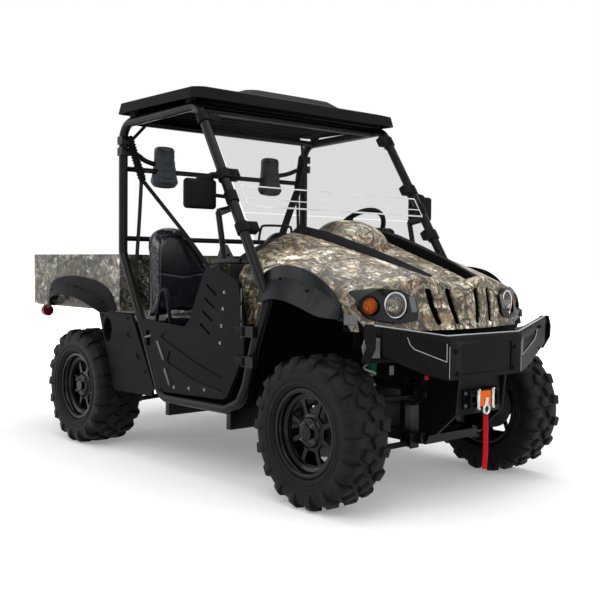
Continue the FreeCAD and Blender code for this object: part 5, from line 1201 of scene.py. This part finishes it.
class VEHICLE_OT_bumper(bpy.types.Operator):
    """Painted highlights along the bumper's edges, and its bolts and plates"""
    bl_idname = "vehicle.bumper"
    bl_label = "Bumper"

    def execute(self, context):
        wing_bolts = [(bolt, (1462.5 + shift * 0.26, 494 - shift, 752), (0.964, 0.265, 0), 6)
            for shift in (0, 22)]
        build("bumper_bolts", "black_plastic", "black_plastic", (bolt, (1530, 204, 676), X, 8),
            (bolt, (1530, 193, 582), X, 8), *wing_bolts, pair=True)
        self.edges()
        build("isolator_knob", "red_part", "red_webbing",
            (rod, (1396, -247, 556), (1408, -247, 556), 10, {"segments": 20}), bevel=SMALL_BEVEL)
        build("bumper_tag_bracket", "plate_grey", "zinc", (block, (1294, -366, 566), (1298, -340, 606)),
            bevel=(1, 2, 40))
        plate = [(1340, 470, 630), (1340, 560, 640), (1340, 575, 700), (1340, 552, 748), (1340, 470, 740)]
        build("bumper_plates", "plate_grey", "tube_black", (prism, plate, (-6, 0, 0)), bevel=(1.5, 2, 40),
            pair=True)
        return {"FINISHED"}

    def edges(self):
        """Painted highlights: pale beads along the top rail, round the wings' pockets and on the folds."""
        pocket = [(452, 744), (438, 712), (418, 694), (264, 636), (264, 712)]
        line = [(1530 - 0.2753 * (y - 250), y, z) for y, z in pocket]
        edges = [(rod, *ends, 1.8, {"segments": 12}) for ends in zip(line, line[1:])]
        build("bumper_highlight_beads", "bumper_highlight", "tube_black",
            (rod, (1513, 250, 742.5), (1415, 598, 794.5), 4.5, {"segments": 16}),
            (rod, (1513, 0, 742.5), (1513, 250, 742.5), 4.5, {"segments": 16}), *edges,
            (rod, (1529.5, 250, 564), (1529.5, 250, 700), 1.5, {"segments": 12}), pair=True)


class VEHICLE_OT_winch(bpy.types.Operator):
    """Winch ends, rope, fairlead posts, the orange stop and the strap"""
    bl_idname = "vehicle.winch"
    bl_label = "Winch"

    def execute(self, context):
        ends = []
        for side in (-1, 1):
            for index in range(12):
                turn = math.tau * index / 12
                x, z = WINCH_X + 30 * math.cos(turn), WINCH_Z + 30 * math.sin(turn)
                ends.append((rod, (x, side * 144, z), (x, side * 151, z), 4.5, {"segments": 10}))
            ends.append((rod, (WINCH_X, side * 145, WINCH_Z), (WINCH_X, side * 152, WINCH_Z), 18, 16,
                {"segments": 28}))
        build("winch_ends", "cast_grey", "black_plastic", *ends, bevel=(0.8, 1, 40))
        turn_profile = [(34.5, -7), (37.5, -3.5), (38.5, 0), (37.5, 3.5), (34.5, 7), (34.5, -7)]
        coils = [(turned, turn_profile, (WINCH_X, -62 + index * 15.5, WINCH_Z), Y, {"steps": 32, "side": Z})
            for index in range(9)]
        build("winch_rope", "zinc", "zinc", *coils, join=True)
        build("hook_stop", "orange_part", "orange_lamp",
            (block, (1519, -36, WINCH_Z - 34), (1530, 36, WINCH_Z + 34)), bevel=ROUND_BEVEL)
        bolts = [(bolt, (1501.2, y, WINCH_Z + shift), X, 7) for y in (-104, 104) for shift in (-28, 28)]
        build("fairlead_bolts", "bolt_zinc", "zinc", *bolts)
        posts = []
        for y in (-48, 52):
            posts.append((rod, (1525, y, WINCH_Z - 40), (1525, y, WINCH_Z + 40), 8.5, {"segments": 20}))
            posts += [(rod, (1518, y, WINCH_Z + up), (1534, y, WINCH_Z + up), 6, {"segments": 16})
                for up in (-40, 40)]
        build("fairlead_posts", "brushed_steel", "zinc", *posts, bevel=(1, 2, 40))
        self.strap()
        return {"FINISHED"}

    def strap(self):
        """The webbing strap that hangs from the hook."""
        route = [(1.532, 0.0, 0.3895), (1.532, 0.001, 0.310), (1.532, 0.004, 0.235), (1.532, -0.002, 0.180),
            (1.532, -0.006, 0.1525)]
        line = smooth_route(route, 10)
        mesh = bmesh.new()
        ribbon(mesh, [Vector(point) - Y * 0.0015 for point in line], (0.025, 0, 0), 0.003)
        clean(mesh)
        strap = new_piece("strap", mesh, "chassis", "red_webbing", 40, ["hook_strap"])


EYE = [(6, -14), (13, -14), (13, 14), (6, 14), (6, -14)]
DAMPER = [(0, 12), (16, 12), (22, 20), (22, 66), (33, 68), (33, 78), (21, 80), (19, 140), (0, 140)]


class VEHICLE_OT_suspension(bpy.types.Operator):
    """Coil springs, dampers and rods"""
    bl_idname = "vehicle.suspension"
    bl_label = "Suspension"

    def execute(self, context):
        eye_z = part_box("shocks")[0].z * 1000 + 13
        springs, dampers, rods = bmesh.new(), bmesh.new(), bmesh.new()
        for x, top_y, top_z in ((FRONT_AXLE_X + 44, 345, 715), (REAR_AXLE_X + 44, 355, 644.7)):
            self.shock(springs, dampers, rods, Vector((x, 372, eye_z)), Vector((x, top_y, top_z)))
        shaped((rod, (1171, 345, 560), (1176, 345, 630), 19), mesh=dampers)
        parts = ((springs, "springs", "coil_pale", "pale_coil", ["shocks"]),
            (dampers, "dampers", "damper_green", "pale_coil", []), (rods, "damper_rods", "zinc", "zinc", []))
        for mesh, name, finish, slot, replaced in parts:
            new_piece(name, mirrored(clean(mesh)), "chassis", finish, 35, replaced)
        return {"FINISHED"}

    def shock(self, springs, dampers, rods, start, end):
        """One coil-over damper between its two eyes."""
        axis = (end - start).normalized()
        length = (end - start).length
        side = axis.orthogonal().normalized()
        bottom, top, turns, turn_steps = 80, length - 45, 7, 18
        place = Matrix.Translation(metres(start + axis * bottom + side * 26.5))
        ring = bmesh.ops.create_circle(springs, cap_ends=True, segments=10, radius=0.0052,
            matrix=place @ axis.cross(side).to_track_quat("Z", "Y").to_matrix().to_4x4())
        steps = turns * turn_steps
        bmesh.ops.spin(springs, geom=[ring["verts"][0].link_faces[0]], cent=metres(start), axis=axis,
            dvec=metres(axis * ((top - bottom) / steps)), angle=math.tau * turns, steps=steps,
            use_merge=False)
        piston = [(0, 130), (7.5, 130), (7.5, length - 20), (0, length - 20)]
        seat = [(0, length - 46), (20, length - 46), (33, length - 42), (33, length - 36),
            (14, length - 30), (0, length - 30)]
        shaped((turned, DAMPER, start, axis, {"steps": 28}), mesh=dampers)
        shaped((turned, piston, start, axis, {"steps": 18}), (turned, seat, start, axis, {"steps": 28}),
            (turned, EYE, start, X, {"steps": 20}), (turned, EYE, end, X, {"steps": 20}), mesh=rods)


# Name, place, aim, size and power of each studio light
LIGHTS = (("key", (3.5, -5.5, 6.0), (0, 0, 0.6), 5.0, 230), ("top", (0.0, 0.5, 6.5), (0, 0, 0.5), 6.0, 260),
    ("fill", (-5.0, -5.5, 3.0), (0, 0, 0.6), 4.0, 100), ("front", (6.5, 1.5, 2.6), (0.6, 0, 0.6), 3.5, 80))


class VEHICLE_OT_stage(bpy.types.Operator):
    """The floor, studio light and camera"""
    bl_idname = "vehicle.stage"
    bl_label = "Stage"

    def execute(self, context):
        scene = context.scene
        scene.view_settings.view_transform = "Standard"
        mesh = bmesh.new()
        bmesh.ops.create_grid(mesh, x_segments=1, y_segments=1, size=60)
        data = bpy.data.meshes.new("floor")
        mesh.to_mesh(data)
        mesh.free()
        floor = bpy.data.objects.new("floor", data)
        scene.collection.objects.link(floor)
        data.materials.append(self.floor_finish())
        self.world(scene)
        for light in LIGHTS:
            self.lamp(*light)
        self.camera(scene)
        return {"FINISHED"}

    def seen(self, tree):
        """One for what the camera, a reflection or a clear piece sees, and nought for other light."""
        path = node(tree, "ShaderNodeLightPath").outputs
        clear = maths(tree, "MAXIMUM", path["Is Glossy Ray"], path["Is Transmission Ray"])
        return maths(tree, "MAXIMUM", path["Is Camera Ray"], clear)

    def floor_finish(self):
        """A pale floor that turns white to the camera away from the vehicle, and keeps its shadow."""
        made = bpy.data.materials.new("pale_floor")
        made.use_nodes = True
        tree = made.node_tree
        tree.nodes.clear()
        place = node(tree, "ShaderNodeTexCoord").outputs["Object"]
        far = node(tree, "ShaderNodeVectorMath", {0: place}, operation="LENGTH").outputs[1]
        pale = ramp(tree, noise(tree, place, 1.5), [(0.0, 0.78), (1.0, 0.80)])
        matt = node(tree, "ShaderNodeBsdfDiffuse", {"Color": pale})
        spread = node(tree, "ShaderNodeMapRange", {"Value": far, 1: 1.9, 2: 4.2, 3: 0.24, 4: 1.0})
        glow = node(tree, "ShaderNodeEmission", {"Color": (1, 1, 1, 1), "Strength": spread.outputs[0]})
        none = node(tree, "ShaderNodeEmission", {"Strength": 0.0})
        shown = node(tree, "ShaderNodeMixShader", {0: self.seen(tree), 1: none.outputs[0],
            2: glow.outputs[0]})
        both = node(tree, "ShaderNodeAddShader", {0: matt.outputs[0], 1: shown.outputs[0]})
        node(tree, "ShaderNodeOutputMaterial", {0: both.outputs[0]})
        return made

    def world(self, scene):
        """White to the camera and in reflections, a soft studio to everything else."""
        made = bpy.data.worlds.new("studio")
        scene.world = made
        made.use_nodes = True
        tree = made.node_tree
        tree.nodes.clear()
        place = node(tree, "ShaderNodeTexCoord").outputs["Generated"]
        high = node(tree, "ShaderNodeSeparateXYZ", {0: place}).outputs[2]
        dome = ramp(tree, high, [(0.0, 0.35), (0.35, 0.42), (1.0, 0.62)])
        colour = mixed(tree, self.seen(tree), dome, (1, 1, 1, 1))
        back = node(tree, "ShaderNodeBackground", {"Color": colour, "Strength": 1.0})
        node(tree, "ShaderNodeOutputWorld", {0: back.outputs[0]})

    def lamp(self, name, place, aim, size, power):
        """A square soft lamp."""
        data = bpy.data.lights.new(name, "AREA")
        data.size, data.energy = size, power
        made = bpy.data.objects.new(name, data)
        bpy.context.scene.collection.objects.link(made)
        made.location = place
        made.rotation_euler = (Vector(aim) - Vector(place)).to_track_quat("-Z", "Y").to_euler()

    def camera(self, scene):
        """The camera at the photograph's angle."""
        data = bpy.data.cameras.new("camera")
        data.lens, data.sensor_width = 54.92, 36.0
        made = bpy.data.objects.new("camera", data)
        scene.collection.objects.link(made)
        turn, dip, roll = math.radians(41.097), math.radians(2.250), math.radians(0.553)
        ahead = Vector((-math.cos(turn) * math.cos(dip), math.sin(turn) * math.cos(dip), -math.sin(dip)))
        right = ahead.cross(Z).normalized()
        up = right.cross(ahead)
        level, tall = right, up
        right = level * math.cos(roll) + tall * math.sin(roll)
        up = tall * math.cos(roll) - level * math.sin(roll)
        made.matrix_world = Matrix((right, up, -ahead)).transposed().to_4x4()
        made.location = (3.9858, -3.2245, 1.0384)
        scene.camera = made


class VEHICLE_PT_panel(bpy.types.Panel):
    """Lists the steps that build the vehicle"""
    bl_label = "Vehicle"
    bl_space_type = "VIEW_3D"
    bl_region_type = "UI"
    bl_category = "Vehicle"

    def draw(self, context):
        for name in VehicleSettings.__annotations__:
            self.layout.prop(context.scene.vehicle, name)
        for step in STEPS:
            self.layout.operator(step.bl_idname)


STEPS = (VEHICLE_OT_finishes, VEHICLE_OT_stage, VEHICLE_OT_winch, VEHICLE_OT_shells, VEHICLE_OT_tyres,
    VEHICLE_OT_wheels, VEHICLE_OT_lamps, VEHICLE_OT_cab_sides, VEHICLE_OT_screen, VEHICLE_OT_seats,
    VEHICLE_OT_mirrors, VEHICLE_OT_doors, VEHICLE_OT_trim, VEHICLE_OT_bumper, VEHICLE_OT_suspension)
CLASSES = (VehicleSettings, *STEPS, VEHICLE_PT_panel)


def register():
    """Registers the classes and the settings."""
    for item in CLASSES:
        bpy.utils.register_class(item)
    bpy.types.Scene.vehicle = bpy.props.PointerProperty(type=VehicleSettings)


def unregister():
    """Takes the settings and classes back."""
    del bpy.types.Scene.vehicle
    for item in reversed(CLASSES):
        bpy.utils.unregister_class(item)


def main():
    """Runs every step in order."""
    register()
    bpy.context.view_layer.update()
    for step in STEPS:
        area, name = step.bl_idname.split(".")
        getattr(getattr(bpy.ops, area), name)()
    bpy.context.view_layer.update()


if __name__ == "__main__":
    main()
